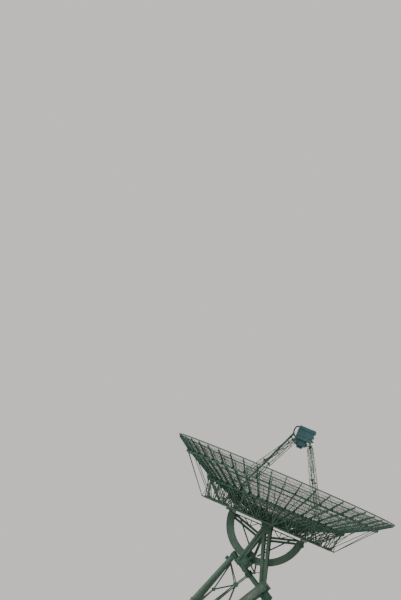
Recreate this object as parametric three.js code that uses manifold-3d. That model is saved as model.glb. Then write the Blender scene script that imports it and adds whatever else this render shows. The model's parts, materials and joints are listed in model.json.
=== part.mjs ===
// A 25 m radio telescope: a see-through mesh reflector on a polar mount.
// Units are millimetres, +Z up. +X points to the equator, +Y along the declination axis at rest.
import * as THREE from 'three';
import { mergeVertices } from 'three/addons/utils/BufferGeometryUtils.js';
import Module from 'manifold-3d';

// Driving dimensions of the mount
const AXIS_HEIGHT = 17200; // declination axis above ground
const LATITUDE = THREE.MathUtils.degToRad(52.9); // slope of the polar axis
const ZENITH_ANGLE = THREE.MathUtils.degToRad(23.3); // boresight from vertical, towards +X
const AXIS_OFFSET = 4700; // declination axis to polar axis
const ORIGIN_X = -1255; // middle of the whole object's box, from the declination axis
const GAP = 0.3; // between pieces that touch
const SLIVER = 0.15; // details smaller than this are smoothed away

// Driving dimensions of the reflector
const RIM_R = 12500;
const FOCAL = 8750;
const VERTEX = 830; // vertex above the declination axis, along the boresight
const RIBS = 48;
const SECTORS = 8;
const HUB_R = 2408;
const LOWER_R = 7450;
const LOWER_Z = 220; // lower chord plane above the declination axis
const RING_OUTER_R = 10900;
const RING_MID_R = 7700;
const SKIN = 25; // thickness of the mesh panels
const RIB_WIDTH = 90;

// Driving dimensions of both drive arcs, which are alike
const ARC_OUT = 4360;
const ARC_IN = 3580;
const ARC_WIDE = 800;

// Driving dimensions along the polar axis, down from the foot of the offset
const BEAM_R = 275;
const UPPER_HEAD_T = 380;
const SLEEVE_T = 1100;
const COLLAR_T = 2900;
const HUB_T = 4975;
const LOWER_HEAD_T = 5950;
const BEAM_END_T = 6300;

const wasm = await Module();
wasm.setup();

const steel = (name, color) => (
  new THREE.MeshStandardMaterial({ name, color, roughness: 0.6, metalness: 0.2 }));
const PAINT = '#3a5148';
const PAINT_DARK = '#2c423c';
const FEED_PAINT = '#2f6570';
const MESH_WIRE = '#8a9088';
const CONCRETE = '#a8a49a';

const telescope = new THREE.Group();
const declinationAxis = new THREE.Vector3(-ORIGIN_X, 0, AXIS_HEIGHT);

const solidOf = (geometry) => {
  const g = geometry.clone();
  g.deleteAttribute('normal');
  g.deleteAttribute('uv');
  const merged = mergeVertices(g, 1e-3);
  return new wasm.Manifold(new wasm.Mesh({
    numProp: 3,
    vertProperties: new Float32Array(merged.attributes.position.array),
    triVerts: new Uint32Array(merged.index.array),
  }));
};

const geometryOf = (solid) => {
  const mesh = solid.simplify(SLIVER).getMesh();
  const g = new THREE.BufferGeometry();
  g.setAttribute('position', new THREE.BufferAttribute(new Float32Array(mesh.vertProperties), 3));
  g.setIndex(new THREE.BufferAttribute(new Uint32Array(mesh.triVerts), 1));
  return g;
};

const fuse = (solids) => solids.reduce((whole, next) => whole.add(next));

const addMesh = (name, solid, color) => {
  const mesh = new THREE.Mesh(geometryOf(solid), steel(name, color));
  mesh.name = name;
  telescope.add(mesh);
};

// Frames of reference
const v = (x, y, z) => new THREE.Vector3(x, y, z);
const at = (x, y, z) => v(x, y, z).add(declinationAxis);
const boresight = v(Math.sin(ZENITH_ANGLE), 0, Math.cos(ZENITH_ANGLE));
const dishX = v(Math.cos(ZENITH_ANGLE), 0, -Math.sin(ZENITH_ANGLE));
const poleDown = v(Math.cos(LATITUDE), 0, -Math.sin(LATITUDE));
const poleOut = v(Math.sin(LATITUDE), 0, Math.cos(LATITUDE));
const dish = (x, y, z) => declinationAxis.clone()
  .addScaledVector(dishX, x).addScaledVector(boresight, z).add(v(0, y, 0));
const polar = (t, s, y) => declinationAxis.clone()
  .addScaledVector(poleOut, s - AXIS_OFFSET).addScaledVector(poleDown, t).add(v(0, y, 0));
const round = (radius, turn, z) => dish(radius * Math.cos(turn), radius * Math.sin(turn), z);
const bowl = (radius) => VERTEX + (radius * radius) / (4 * FOCAL);

// A straight member between two points. side is the direction of its width.
const member = (from, to, wide, deep, side = v(0, 1, 0)) => {
  const along = to.clone().sub(from);
  const length = along.length();
  along.normalize();
  const across = side.clone().addScaledVector(along, -side.dot(along)).normalize();
  const up = new THREE.Vector3().crossVectors(along, across);
  const g = new THREE.BoxGeometry(wide, deep, length);
  g.applyMatrix4(new THREE.Matrix4().makeBasis(across, up, along));
  g.translate(...from.clone().add(to).multiplyScalar(0.5).toArray());
  return solidOf(g);
};

const tube = (from, to, radius, sides = 8) => {
  const along = to.clone().sub(from);
  const g = new THREE.CylinderGeometry(radius, radius, along.length(), sides);
  g.applyQuaternion(new THREE.Quaternion().setFromUnitVectors(v(0, 1, 0), along.clone().normalize()));
  g.translate(...from.clone().add(to).multiplyScalar(0.5).toArray());
  return solidOf(g);
};

// A ring of straight pieces with a box section, one corner at each of `count` turns
const ringBeam = (radius, z, wide, deep, count, first = 0) => {
  const profile = [
    [radius - wide / 2, z - deep], [radius + wide / 2, z - deep],
    [radius + wide / 2, z], [radius - wide / 2, z], [radius - wide / 2, z - deep],
  ].map(([x, y]) => new THREE.Vector2(x, y));
  const g = new THREE.LatheGeometry(profile, count, first);
  const basis = new THREE.Matrix4().makeBasis(v(0, 1, 0), boresight, dishX);
  g.applyMatrix4(basis);
  g.translate(...declinationAxis.toArray());
  return solidOf(g);
};

// A flat outline in the plane of two directions, given thickness along the third
const plate = (points, origin, xDir, yDir, thick) => {
  const shape = new THREE.Shape(points.map(([x, y]) => new THREE.Vector2(x, y)));
  const g = new THREE.ExtrudeGeometry(shape, { depth: thick, bevelEnabled: false });
  g.translate(0, 0, -thick / 2);
  const zDir = new THREE.Vector3().crossVectors(xDir, yDir);
  g.applyMatrix4(new THREE.Matrix4().makeBasis(xDir, yDir, zDir));
  g.translate(...origin.toArray());
  return solidOf(g);
};

const TURN = (2 * Math.PI) / RIBS;
const SECTOR = (2 * Math.PI) / SECTORS;
const QUARTER = Math.PI / 2;
const RIBS_PER_SECTOR = RIBS / SECTORS;
const RIB_STATIONS = [2420, 5000, 7700, 10900, 12390];
const RIB_TOP = -SKIN - GAP; // below the mesh surface
const RIB_DEEP = 170;
const PURLIN_R = 5000;
const PURLIN = 80;
const PURLIN_Z = bowl(PURLIN_R) + RIB_TOP - RIB_DEEP / 2;

const ribSolid = (turn) => {
  const radial = dishX.clone().multiplyScalar(Math.cos(turn)).add(v(0, Math.sin(turn), 0));
  const top = RIB_STATIONS.map((radius) => [radius, bowl(radius) + RIB_TOP]).reverse();
  const bottom = RIB_STATIONS.map((radius) => [radius, bowl(radius) + RIB_TOP - RIB_DEEP]);
  return plate([...bottom, ...top], declinationAxis, radial, boresight, RIB_WIDTH);
};

// Rib frames: six ribs and the purlins between them
const ribFrame = (sector) => {
  const solids = [];
  for (let i = 0; i < RIBS_PER_SECTOR; i += 1) {
    const turn = sector * SECTOR + (i + 0.5) * TURN;
    solids.push(ribSolid(turn));
    if (i > 0) {
      const ends = [turn - TURN, turn].map((each) => round(PURLIN_R, each, PURLIN_Z));
      solids.push(member(...ends, PURLIN, PURLIN, boresight));
    }
  }
  return fuse(solids);
};

// Mesh panels: a thin curved sector that bends over each of its ribs
const meshPanel = (quarter, lift = 0, thick = SKIN) => {
  const edge = 4 / RIM_R;
  const turns = [quarter * QUARTER + edge];
  for (let i = 0; i < RIBS / 4; i += 1) turns.push(quarter * QUARTER + (i + 0.5) * TURN);
  turns.push((quarter + 1) * QUARTER - edge);
  const section = [
    ...RIB_STATIONS.map((radius) => [radius, bowl(radius) + lift]),
    ...RIB_STATIONS.map((radius) => [radius, bowl(radius) + lift - thick]).reverse(),
  ];
  const n = section.length;
  const positions = turns.flatMap((turn) => (
    section.flatMap(([radius, z]) => round(radius, turn, z).toArray())));
  const index = [];
  for (let k = 0; k < turns.length - 1; k += 1) {
    for (let j = 0; j < n; j += 1) {
      const a = k * n + j;
      const b = k * n + ((j + 1) % n);
      index.push(a, b, a + n, b, b + n, a + n);
    }
  }
  const last = (turns.length - 1) * n;
  for (let j = 0; j < n / 2 - 1; j += 1) {
    const far = n - 1 - j;
    index.push(j, far, j + 1, j + 1, far, far - 1);
    index.push(last + j, last + j + 1, last + far, last + j + 1, last + far - 1, last + far);
  }
  return new wasm.Manifold(new wasm.Mesh({
    numProp: 3,
    vertProperties: new Float32Array(positions),
    triVerts: new Uint32Array(index),
  }));
};

for (let sector = 0; sector < SECTORS; sector += 1) {
  addMesh(`rib_frame_${sector + 1}`, ribFrame(sector), PAINT_DARK);
}
for (let quarter = 0; quarter < 4; quarter += 1) {
  addMesh(`mesh_panel_${quarter + 1}`, meshPanel(quarter), MESH_WIRE);
}

// Rings
const ribUnder = (radius) => {
  const k = Math.max(1, RIB_STATIONS.findIndex((station) => station >= radius));
  const [r0, r1] = [RIB_STATIONS[k - 1], RIB_STATIONS[k]];
  const share = (radius - r0) / (r1 - r0);
  return bowl(r0) * (1 - share) + bowl(r1) * share + RIB_TOP - RIB_DEEP;
};
// The corner radius of a ring of straight pieces, from its radius across the flats
const flatToFlat = (radius, count) => radius / Math.cos(Math.PI / count);
const ring = (name, radius, z, wide, deep, count, first = 0) => {
  const corner = 1 / Math.cos(Math.PI / count);
  addMesh(name, ringBeam(radius * corner, z, wide * corner, deep, count, first), PAINT_DARK);
};
const ringUnderRibs = (name, radius, wide, deep) => {
  ring(name, radius, ribUnder(radius - wide / 2) - GAP, wide, deep, RIBS);
};
const RIM = { wide: 90, deep: 120, above: 20 };
const RING_OUTER = { wide: 160, deep: 180 };
const RING_MID = { wide: 200, deep: 240 };
const HUB_WIDE = 190;
const LOWER_SIZE = 120;
const FRAMES = 24; // radial frames of the backing truss
const FRAME_TURN = (2 * Math.PI) / FRAMES;
ring('rim_ring', RIM_R - RIM.wide / 2 - 19.6, bowl(RIM_R) + RIM.above, RIM.wide, RIM.deep, RIBS);
ringUnderRibs('ring_outer', RING_OUTER_R, RING_OUTER.wide, RING_OUTER.deep);
ringUnderRibs('ring_mid', RING_MID_R, RING_MID.wide, RING_MID.deep);
ring('hub_ring', HUB_R - HUB_WIDE / 2, bowl(HUB_R), HUB_WIDE, bowl(HUB_R) - LOWER_Z, RIBS);
ring('lower_ring', LOWER_R, LOWER_Z, LOWER_SIZE, LOWER_SIZE, FRAMES, FRAME_TURN / 2);

// Backing truss: 24 radial frames between the lower ring and the ribs, six to a quarter
const WEB = 90; // size of the diagonal members
const CHORD = 130;
const ringBottom = (radius, size) => ribUnder(radius - size.wide / 2) - GAP - size.deep;
const HUB_CORNER = flatToFlat(HUB_R, RIBS) + GAP;
const LOWER_INNER_CORNER = (LOWER_R - LOWER_SIZE / 2) / Math.cos(FRAME_TURN / 2);
const LOWER_NODE_R = LOWER_INNER_CORNER - (CHORD / 2) * Math.tan(FRAME_TURN / 2) - GAP;
const OUTER_SEAT_Z = ringBottom(RING_OUTER_R, RING_OUTER) - 5;
const MID_SEAT_Z = ringBottom(RING_MID_R, RING_MID) - 5;

const THINNER = 7; // each web of a frame is this much thinner than the last, so their sides aren't flush
const FLAT = Math.cos(TURN / 2);
const ringCut = (radius, z, size, first = 0) => ringBeam(radius / FLAT, z + 2 * GAP,
  (size.wide + 4 * GAP) / FLAT, size.deep + 4 * GAP, RIBS, first);
const radialFrame = (turn) => {
  const p = (radius, z) => round(radius, turn, z);
  const side = round(1, turn + Math.PI / 2, 0).sub(round(0, 0, 0));
  const foot = LOWER_Z - CHORD / 2;
  const webs = [
    [HUB_CORNER + WEB, foot, PURLIN_R - 20, PURLIN_Z - 90],
    [PURLIN_R - 10, PURLIN_Z - 60, 5600, foot],
    [5600, foot, RING_MID_R - 60, MID_SEAT_Z + 60],
    [LOWER_NODE_R - 160, foot, RING_MID_R - 20, MID_SEAT_Z + 60],
  ].map(([r0, z0, r1, z1], k) => member(p(r0, z0), p(r1, z1), WEB - k * THINNER, WEB, side));
  return fuse([member(p(HUB_CORNER, foot), p(LOWER_NODE_R, foot), CHORD, CHORD, side), ...webs]);
};

const trussQuarter = (quarter) => {
  const solids = [];
  for (let i = 0; i < FRAMES / 4; i += 1) {
    const turn = quarter * QUARTER + (i + 0.5) * FRAME_TURN;
    solids.push(radialFrame(turn));
    if (i > 0) {
      const last = turn - FRAME_TURN;
      const ends = [last, turn].map((each) => round(5600, each, LOWER_Z - CHORD / 2));
      solids.push(member(...ends, WEB, WEB, boresight));
    }
  }
  return fuse(solids).subtract(ringCut(RING_MID_R, ribUnder(RING_MID_R - RING_MID.wide / 2), RING_MID))
    .subtract(ringCut(PURLIN_R * FLAT, PURLIN_Z + PURLIN / 2, { wide: PURLIN, deep: PURLIN }, TURN / 2));
};

for (let quarter = 0; quarter < 4; quarter += 1) {
  addMesh(`truss_${quarter + 1}`, trussQuarter(quarter), PAINT);
}

// Outer struts: V pairs from every other corner of the lower ring up to the outer ring
const STRUT_SIZE = 75;
const NODE_SIZE = 130;
const NODE_Z = LOWER_Z - 80;
const STRUT_FOOT_R = (LOWER_R + LOWER_SIZE / 2) / Math.cos(FRAME_TURN / 2) + NODE_SIZE / 2 + GAP;

const strutGroup = (quarter) => {
  const solids = [];
  for (let i = 0; i < FRAMES / 4; i += 1) {
    const turn = quarter * QUARTER + (i + 0.5) * FRAME_TURN;
    const foot = round(STRUT_FOOT_R, turn, NODE_Z);
    const outward = round(1, turn, 0).sub(round(0, turn, 0));
    const nodeEnds = [-0.5, 0.5].map((half) => round(STRUT_FOOT_R, turn, NODE_Z + half * NODE_SIZE));
    solids.push(member(...nodeEnds, NODE_SIZE, NODE_SIZE, outward));
    for (const way of i % 2 === 0 ? [-1, 1] : []) {
      const head = round(RING_OUTER_R, turn + way * TURN, OUTER_SEAT_Z + 60);
      solids.push(member(foot, head, STRUT_SIZE, STRUT_SIZE));
    }
    if (i > 0) {
      const before = round(STRUT_FOOT_R, turn - FRAME_TURN, NODE_Z);
      solids.push(member(before, foot, STRUT_SIZE, STRUT_SIZE, boresight));
    }
  }
  const ringTop = ribUnder(RING_OUTER_R - RING_OUTER.wide / 2);
  return fuse(solids).subtract(ringCut(RING_OUTER_R, ringTop, RING_OUTER));
};
for (let quarter = 0; quarter < 4; quarter += 1) {
  addMesh(`outer_struts_${quarter + 1}`, strutGroup(quarter), PAINT_DARK);
}

// Main girders: beams across the back, right over the ends of the drive arc
const GIRDER_X = 4200;
const GIRDER_SIZE = 220;
const GIRDER_Z = LOWER_Z - CHORD - GAP - GIRDER_SIZE / 2;
const GIRDER_HALF = 5200;
const girder = (way) => {
  const ends = [-1, 1].map((end) => dish(way * GIRDER_X, end * GIRDER_HALF, GIRDER_Z));
  return member(...ends, GIRDER_SIZE, GIRDER_SIZE, dishX);
};
addMesh('girder_north', girder(-1), PAINT);
addMesh('girder_south', girder(1), PAINT);

// Axle: the declination shaft with its journals, and the pedestals that hold the hub on it
const HEAD_Y = 1500; // side frames at their heads
const HEAD_THICK = 280;
const AXLE_R = 220;
const AXLE_HALF = 2050;
const yAt = (y) => dish(0, y, 0);
addMesh('axle', tube(yAt(-AXLE_HALF), yAt(AXLE_HALF), AXLE_R, 24), PAINT_DARK);
const PEDESTAL_Y = [-1900, -850, 850, 1900];
const DECK_Z = LOWER_Z + 400;
const DECK_DEEP = 200;
const pedestal = (y) => plate([[-380, -330], [380, -330], [900, DECK_Z - 40], [-900, DECK_Z - 40]],
  at(0, y, 0), dishX, boresight, 180);

// Hub deck: cross beams inside the hub ring, and the four pedestals that hang from it to the axle
const deck = () => {
  const reach = HUB_R - HUB_WIDE - 30;
  const beams = PEDESTAL_Y.map((y) => {
    const half = Math.sqrt(reach * reach - y * y) - 127.5;
    return member(dish(-half, y, DECK_Z), dish(half, y, DECK_Z), DECK_DEEP, DECK_DEEP);
  });
  for (const x of [-850, 850]) {
    beams.push(member(dish(x, -1890, DECK_Z), dish(x, 1890, DECK_Z), DECK_DEEP, DECK_DEEP - 10, dishX));
  }
  return fuse([...beams, ...PEDESTAL_Y.map(pedestal)])
    .subtract(tube(yAt(-3000), yAt(3000), AXLE_R + GAP, 24));
};
addMesh('hub_deck', deck(), PAINT);

// A half ring with a box section. pos(x, y, z) maps its plane; down is where its middle points
const halfRing = (start, span, steps, place, wide) => {
  const shape = new THREE.Shape();
  const corners = (radius) => Array.from({ length: steps + 1 }, (_, k) => {
    const turn = start + (span * k) / steps;
    return [radius * Math.cos(turn), radius * Math.sin(turn)];
  });
  const outline = [...corners(ARC_OUT), ...corners(ARC_IN).reverse()];
  outline.forEach(([x, y], k) => (k === 0 ? shape.moveTo(x, y) : shape.lineTo(x, y)));
  const g = new THREE.ExtrudeGeometry(shape, { depth: wide, bevelEnabled: false });
  g.translate(0, 0, -wide / 2);
  g.applyMatrix4(place);
  return solidOf(g);
};

const inFrame = (xDir, yDir, origin) => new THREE.Matrix4()
  .makeBasis(xDir, yDir, new THREE.Vector3().crossVectors(xDir, yDir)).setPosition(origin);
const dishPlane = inFrame(dishX, boresight, declinationAxis);
const ARC_STEPS = 28;
const ARC_TOP = GIRDER_Z - GIRDER_SIZE / 2 - GAP;
const below = (solid, z) => solid.trimByPlane(boresight.clone().negate().toArray(),
  -boresight.dot(declinationAxis) - z);
const wholeArc = halfRing(Math.PI, Math.PI, ARC_STEPS, dishPlane, ARC_WIDE);
addMesh('declination_arc', below(wholeArc, ARC_TOP), PAINT);

// Arc braces: a pair of ties from each arc end to the keel under the axle, and a diagonal
const BRACE = 190;
const KEEL_HALF = 70;
const arcBrace = (way) => {
  const q = (x, z) => dish(way * x, 0, z);
  const end = ARC_IN + 40;
  const bars = fuse([
    member(q(end, -250), q(0, -1330), BRACE, 170),
    member(q(end, -600), q(0, -1680), BRACE - 4, 170),
    member(q(end, -200), q(620, -200), BRACE - 8, 120),
    member(q(2900, -500), q(260, -ARC_IN + 120), BRACE - 12, 150),
    member(q(KEEL_HALF, -1200), q(KEEL_HALF, -ARC_IN - 40), BRACE - 16, 2 * KEEL_HALF),
    member(q(1700, -250), q(1700, -800), 90, 90),
    member(q(1700, -800), q(2500, -250), 86, 90),
    member(q(1700, -800), q(900, -200), 82, 90),
    member(q(700, -200), q(KEEL_HALF, -1250), 94, 90),
  ]);
  const inside = tube(yAt(-500), yAt(500), ARC_IN * Math.cos(Math.PI / 2 / ARC_STEPS) - GAP, 64);
  const outward = dishX.clone().multiplyScalar(way);
  return bars.intersect(inside).trimByPlane(outward.toArray(), outward.dot(declinationAxis) + GAP);
};
addMesh('arc_brace_north', arcBrace(-1), PAINT_DARK);
addMesh('arc_brace_south', arcBrace(1), PAINT_DARK);

// Sleeve and hub that turn on the polar beam
const SLEEVE_R = 390;
const SLEEVE_HALF = 330;
const LOWER_HUB_R = 600;
const HUB_HALF = 430;
const aroundBeam = (t, half, radius, sides = 24) => (
  tube(polar(t - half, 0, 0), polar(t + half, 0, 0), radius, sides));
const beamBore = aroundBeam(HUB_T, HUB_T + 400, BEAM_R + 8);
addMesh('upper_sleeve', aroundBeam(SLEEVE_T, SLEEVE_HALF, SLEEVE_R).subtract(beamBore), PAINT_DARK);

// The declination drive sits where its pinion meets the outside of the arc
const PINION_R = 150;
const PINION_TURN = THREE.MathUtils.degToRad(30); // from straight down, towards the pole
const PINION_REACH = ARC_OUT + PINION_R + 15;
const DRIVE_SEAT_Y = 900;
const drivePoint = (y) => (
  at(-PINION_REACH * Math.sin(PINION_TURN), y, -PINION_REACH * Math.cos(PINION_TURN)));
const DRIVE_END_Y = 1200;
const driveBox = (way) => member(drivePoint(way * (DRIVE_SEAT_Y + GAP)), drivePoint(way * DRIVE_END_Y),
  1000, 820, poleDown);
const motorEnd = (reach) => drivePoint(-1050).addScaledVector(poleOut, reach);
const driveMotor = tube(motorEnd(380), motorEnd(900), 140, 12);
const pinion = tube(drivePoint(-DRIVE_END_Y + 50), drivePoint(DRIVE_END_Y - 50), PINION_R, 16);
addMesh('declination_drive', fuse([pinion, driveBox(-1), driveBox(1), driveMotor]), PAINT_DARK);

// Fork: two side frames from the declination bearings down to the sleeve and the hub
const FOOT_Y = 470;
const forkFrame = (way) => {
  const head = at(0, way * HEAD_Y, 0);
  const chord = (dx, dz, foot, size) => member(head.clone().add(v(dx, 0, dz)), foot, 240, size);
  const lower = (t, s) => polar(t, s, way * FOOT_Y);
  const northFootOfArm = lower(SLEEVE_T + 240, 100);
  const southFootOfArm = lower(HUB_T - 300, 200);
  const midSouthArm = head.clone().add(v(-300, 0, -420)).lerp(southFootOfArm, 0.62);
  const arms = fuse([
    chord(-330, -200, lower(SLEEVE_T - 90, 60), 260),
    chord(-60, -420, northFootOfArm, 260),
    chord(-300, -420, southFootOfArm, 300),
    chord(330, -250, lower(HUB_T + 150, 330), 300),
    member(northFootOfArm, midSouthArm, 170, 160),
  ]);
  const seat = member(drivePoint(way * 600), drivePoint(way * DRIVE_SEAT_Y), 1100, 1000, poleDown);
  const headPlate = plate([[-520, -560], [-250, -900], [330, -900], [560, -420], [420, 330], [150, 520],
    [-240, 520], [-480, 200]], head, v(1, 0, 0), v(0, 0, 1), HEAD_THICK);
  return fuse([arms, headPlate, seat])
    .subtract(tube(drivePoint(-3000), drivePoint(3000), PINION_R + 10, 16))
    .subtract(tube(yAt(-3000), yAt(3000), AXLE_R + 10, 24))
    .subtract(aroundBeam(SLEEVE_T, SLEEVE_HALF + 200, SLEEVE_R + GAP))
    .subtract(aroundBeam(HUB_T, HUB_HALF + 200, LOWER_HUB_R + GAP));
};
addMesh('fork_near', forkFrame(-1), PAINT);
addMesh('fork_far', forkFrame(1), PAINT);

// Hour arc, in the plane square to the polar axis
const hourPlane = inFrame(v(0, 1, 0), poleOut, polar(HUB_T, 0, 0));
const HOUR_SPAN = Math.PI * 1.11;
addMesh('hour_arc', halfRing(1.5 * Math.PI - HOUR_SPAN / 2, HOUR_SPAN, 30, hourPlane, ARC_WIDE), PAINT);
const spoke = (degrees) => {
  const turn = THREE.MathUtils.degToRad(degrees);
  const p = (radius) => polar(HUB_T, radius * Math.sin(turn), radius * Math.cos(turn));
  return member(p(500), p(ARC_IN - 12.4), 300, 400, poleDown);
};
const lowerHub = aroundBeam(HUB_T, HUB_HALF, LOWER_HUB_R);
addMesh('lower_hub', fuse([lowerHub, ...[-90, -45, -135, -4, -176].map(spoke)]).subtract(beamBore), PAINT);

// Feed: the receiver box at the focus on four lattice legs that stand over the middle ring
const LEG_TURNS = [52.5, 127.5, 232.5, 307.5];
const LEG_FOOT_R = RING_MID_R;
const LEG_CHORD = 64;
const LEG_WIDE = 620;
const LEG_TOP_Z = 9760;
const feedLeg = (degrees) => {
  const turn = THREE.MathUtils.degToRad(degrees);
  const foot = round(LEG_FOOT_R, turn, bowl(LEG_FOOT_R));
  const top = dish(780 * Math.sign(Math.cos(turn)), 640 * Math.sign(Math.sin(turn)), LEG_TOP_Z);
  const along = top.clone().sub(foot).normalize();
  const out = new THREE.Vector3().crossVectors(along, v(0, 1, 0)).normalize();
  const across = new THREE.Vector3().crossVectors(out, along).normalize();
  const corners = [0, 1, 2].map((k) => {
    const a = (k * 2 * Math.PI) / 3 + Math.PI / 2;
    const reach = LEG_WIDE / 2;
    return out.clone().multiplyScalar(reach * Math.cos(a)).addScaledVector(across, reach * Math.sin(a));
  });
  const low = foot.clone().addScaledVector(along, 520);
  const high = top.clone().addScaledVector(along, -420);
  const chords = corners.map((c, k) => (
    member(low.clone().add(c), high.clone().add(c), LEG_CHORD - 4 * k, LEG_CHORD, out)));
  const frame = new THREE.Matrix4().makeBasis(out, along, across);
  const batten = (f) => {
    const g = new THREE.CylinderGeometry(LEG_WIDE / 2, LEG_WIDE / 2, 40, 3);
    g.applyMatrix4(frame);
    g.translate(...low.clone().lerp(high, f).toArray());
    return solidOf(g);
  };
  const beyond = (point, by) => point.clone().addScaledVector(along, by);
  const shoe = member(beyond(foot, -260), beyond(low, 50), 190, 190, out);
  const cap = member(beyond(high, -50), beyond(top, 40), 170, 170, out);
  const whole = fuse([...chords, ...[0.005, 0.5, 0.995].map(batten), shoe, cap]);
  return whole.subtract(meshPanel(Math.floor(turn / QUARTER), GAP, 900))
    .trimByPlane(boresight.clone().negate().toArray(), -boresight.dot(declinationAxis) - LEG_TOP_Z + GAP);
};
const LEG_NAMES = ['south_far', 'north_far', 'north_near', 'south_near'];
LEG_TURNS.forEach((degrees, k) => addMesh(`feed_leg_${LEG_NAMES[k]}`, feedLeg(degrees), PAINT));

const block = (x0, x1, y, z0, z1) => {
  const middle = (x0 + x1) / 2;
  return member(dish(middle, 0, z0), dish(middle, 0, z1), x1 - x0, 2 * y, dishX);
};
const BOX_TOP_Z = 10820;
const upperBox = block(-900, 900, 780, LEG_TOP_Z, BOX_TOP_Z);
const lowerBox = block(-700, 440, 500, 9120, LEG_TOP_Z + 20);
addMesh('feed_box', upperBox.add(lowerBox), FEED_PAINT);
addMesh('feed_lid', block(-860, 1000, 830, BOX_TOP_Z + GAP, BOX_TOP_Z + 400), FEED_PAINT);

// Base: the polar beam on its two heads, the long north legs and the south leg
const HEAD_R = 318;
const UPPER_HEAD_HALF = 300;
const LOWER_HEAD_R = 520;
const LOWER_HEAD_HALF = 400;
const COLLAR_R = 370;
const BEAM_TOP_T = UPPER_HEAD_T - UPPER_HEAD_HALF - 60;
addMesh('polar_beam', tube(polar(BEAM_TOP_T, 0, 0), polar(BEAM_END_T, 0, 0), BEAM_R, 24), PAINT);
const tightBore = tube(polar(-900, 0, 0), polar(BEAM_END_T + 600, 0, 0), BEAM_R + GAP, 24);
const onBeam = (t, half, radius) => aroundBeam(t, half, radius, 12).subtract(tightBore);
const SADDLE = { long: 560, wide: 630, down: 460 }; // the block under the upper head that takes the legs
const saddle = (grow = 0) => member(polar(UPPER_HEAD_T, -200, 0),
  polar(UPPER_HEAD_T, -SADDLE.down - grow, 0), SADDLE.long + 2 * grow, SADDLE.wide + 2 * grow, poleDown);
const upperHead = aroundBeam(UPPER_HEAD_T, UPPER_HEAD_HALF, HEAD_R, 12).add(saddle());
addMesh('upper_head', upperHead.subtract(tightBore), PAINT_DARK);
addMesh('lower_head', onBeam(LOWER_HEAD_T, LOWER_HEAD_HALF, LOWER_HEAD_R), PAINT_DARK);
addMesh('beam_collar', onBeam(COLLAR_T, 220, COLLAR_R), PAINT_DARK);

const PLINTH = {
  north: { x: -15200, y: 6500, size: 1800, high: 900 },
  south: { size: 1700, high: 700 },
};
const SOUTH_T = (AXIS_HEIGHT - PLINTH.south.high - AXIS_OFFSET * Math.cos(LATITUDE)) / Math.sin(LATITUDE);
const southFoot = polar(SOUTH_T, 0, 0);
const onGround = (solid, height) => solid.trimByPlane([0, 0, 1], height + GAP);
const plinth = (x, y, size, high) => member(v(x, y, 0), v(x, y, high), size, size);
const northFoot = (way) => v(declinationAxis.x + PLINTH.north.x, way * PLINTH.north.y, PLINTH.north.high);
const northPlinth = (way) => (
  plinth(northFoot(way).x, northFoot(way).y, PLINTH.north.size, PLINTH.north.high));
addMesh('plinth_north_near', northPlinth(-1), CONCRETE);
addMesh('plinth_north_far', northPlinth(1), CONCRETE);
addMesh('plinth_south', plinth(southFoot.x, 0, PLINTH.south.size, PLINTH.south.high), CONCRETE);

const past = (from, to, by) => to.clone().addScaledVector(to.clone().sub(from).normalize(), by);
const NORTH_LEG_R = 300;
const upperHeadCut = aroundBeam(UPPER_HEAD_T, UPPER_HEAD_HALF + 600, HEAD_R + GAP, 12).add(saddle(GAP));
const northLegTop = (way) => polar(UPPER_HEAD_T + 50, -430, way * 20);
const northLeg = (way) => {
  const top = northLegTop(way);
  const leg = tube(top, past(top, northFoot(way), 600), NORTH_LEG_R, 12);
  const shoe = member(northFoot(way), northFoot(way).add(v(0, 0, 60)), 1000, 1000);
  const side = way > 0 ? leg.trimByPlane([0, 1, 0], GAP) : leg.trimByPlane([0, -1, 0], GAP);
  return onGround(fuse([side, shoe]), PLINTH.north.high).subtract(upperHeadCut);
};
addMesh('north_leg_near', northLeg(-1), PAINT);
addMesh('north_leg_far', northLeg(1), PAINT);

const LOWER_END_T = LOWER_HEAD_T + LOWER_HEAD_HALF;
const southLeg = () => fuse([
  tube(polar(LOWER_END_T + GAP, 0, 0), polar(LOWER_END_T + 120, 0, 0), 430, 12),
  tube(polar(LOWER_END_T + 60, 0, 0), past(polar(0, 0, 0), southFoot, 500), 215, 12),
  member(southFoot.clone(), southFoot.clone().add(v(0, 0, 60)), 800, 800),
]);
addMesh('south_leg', onGround(southLeg(), PLINTH.south.high), PAINT);

// Ties: from the lower head back under the hour arc to a knee, then out to the north feet
const TIE_R = 190;
const tieTop = (way) => polar(LOWER_HEAD_T + 80, -300, way * 300);
const tieKnee = (way) => polar(5700, -6500, way * 800);
const tieFoot = (way) => northFoot(way).add(v(1150, 0, 0));
const tieTube = (way, radius) => tube(tieTop(way), tieKnee(way), radius, 8);
const lowerHeadCut = aroundBeam(LOWER_HEAD_T, LOWER_HEAD_HALF + 300, LOWER_HEAD_R + GAP, 12);
const tieBody = (way, grow = 0) => {
  const knee = tieKnee(way);
  const half = v(0, 0, 260 + grow);
  const block = member(knee.clone().sub(half), knee.clone().add(half), 480 + 2 * grow, 470 + 2 * grow);
  const lower = tube(knee, past(knee, tieFoot(way), 300), TIE_R - 12 + grow, 8);
  return fuse([tieTube(way, TIE_R + grow), block, lower]);
};
const tie = (way) => {
  const shoe = member(tieFoot(way), tieFoot(way).add(v(0, 0, 60)), 600, 600);
  return onGround(fuse([tieBody(way), shoe]), PLINTH.north.high).subtract(lowerHeadCut);
};
addMesh('tie_near', tie(-1), PAINT);
addMesh('tie_far', tie(1), PAINT);

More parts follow.
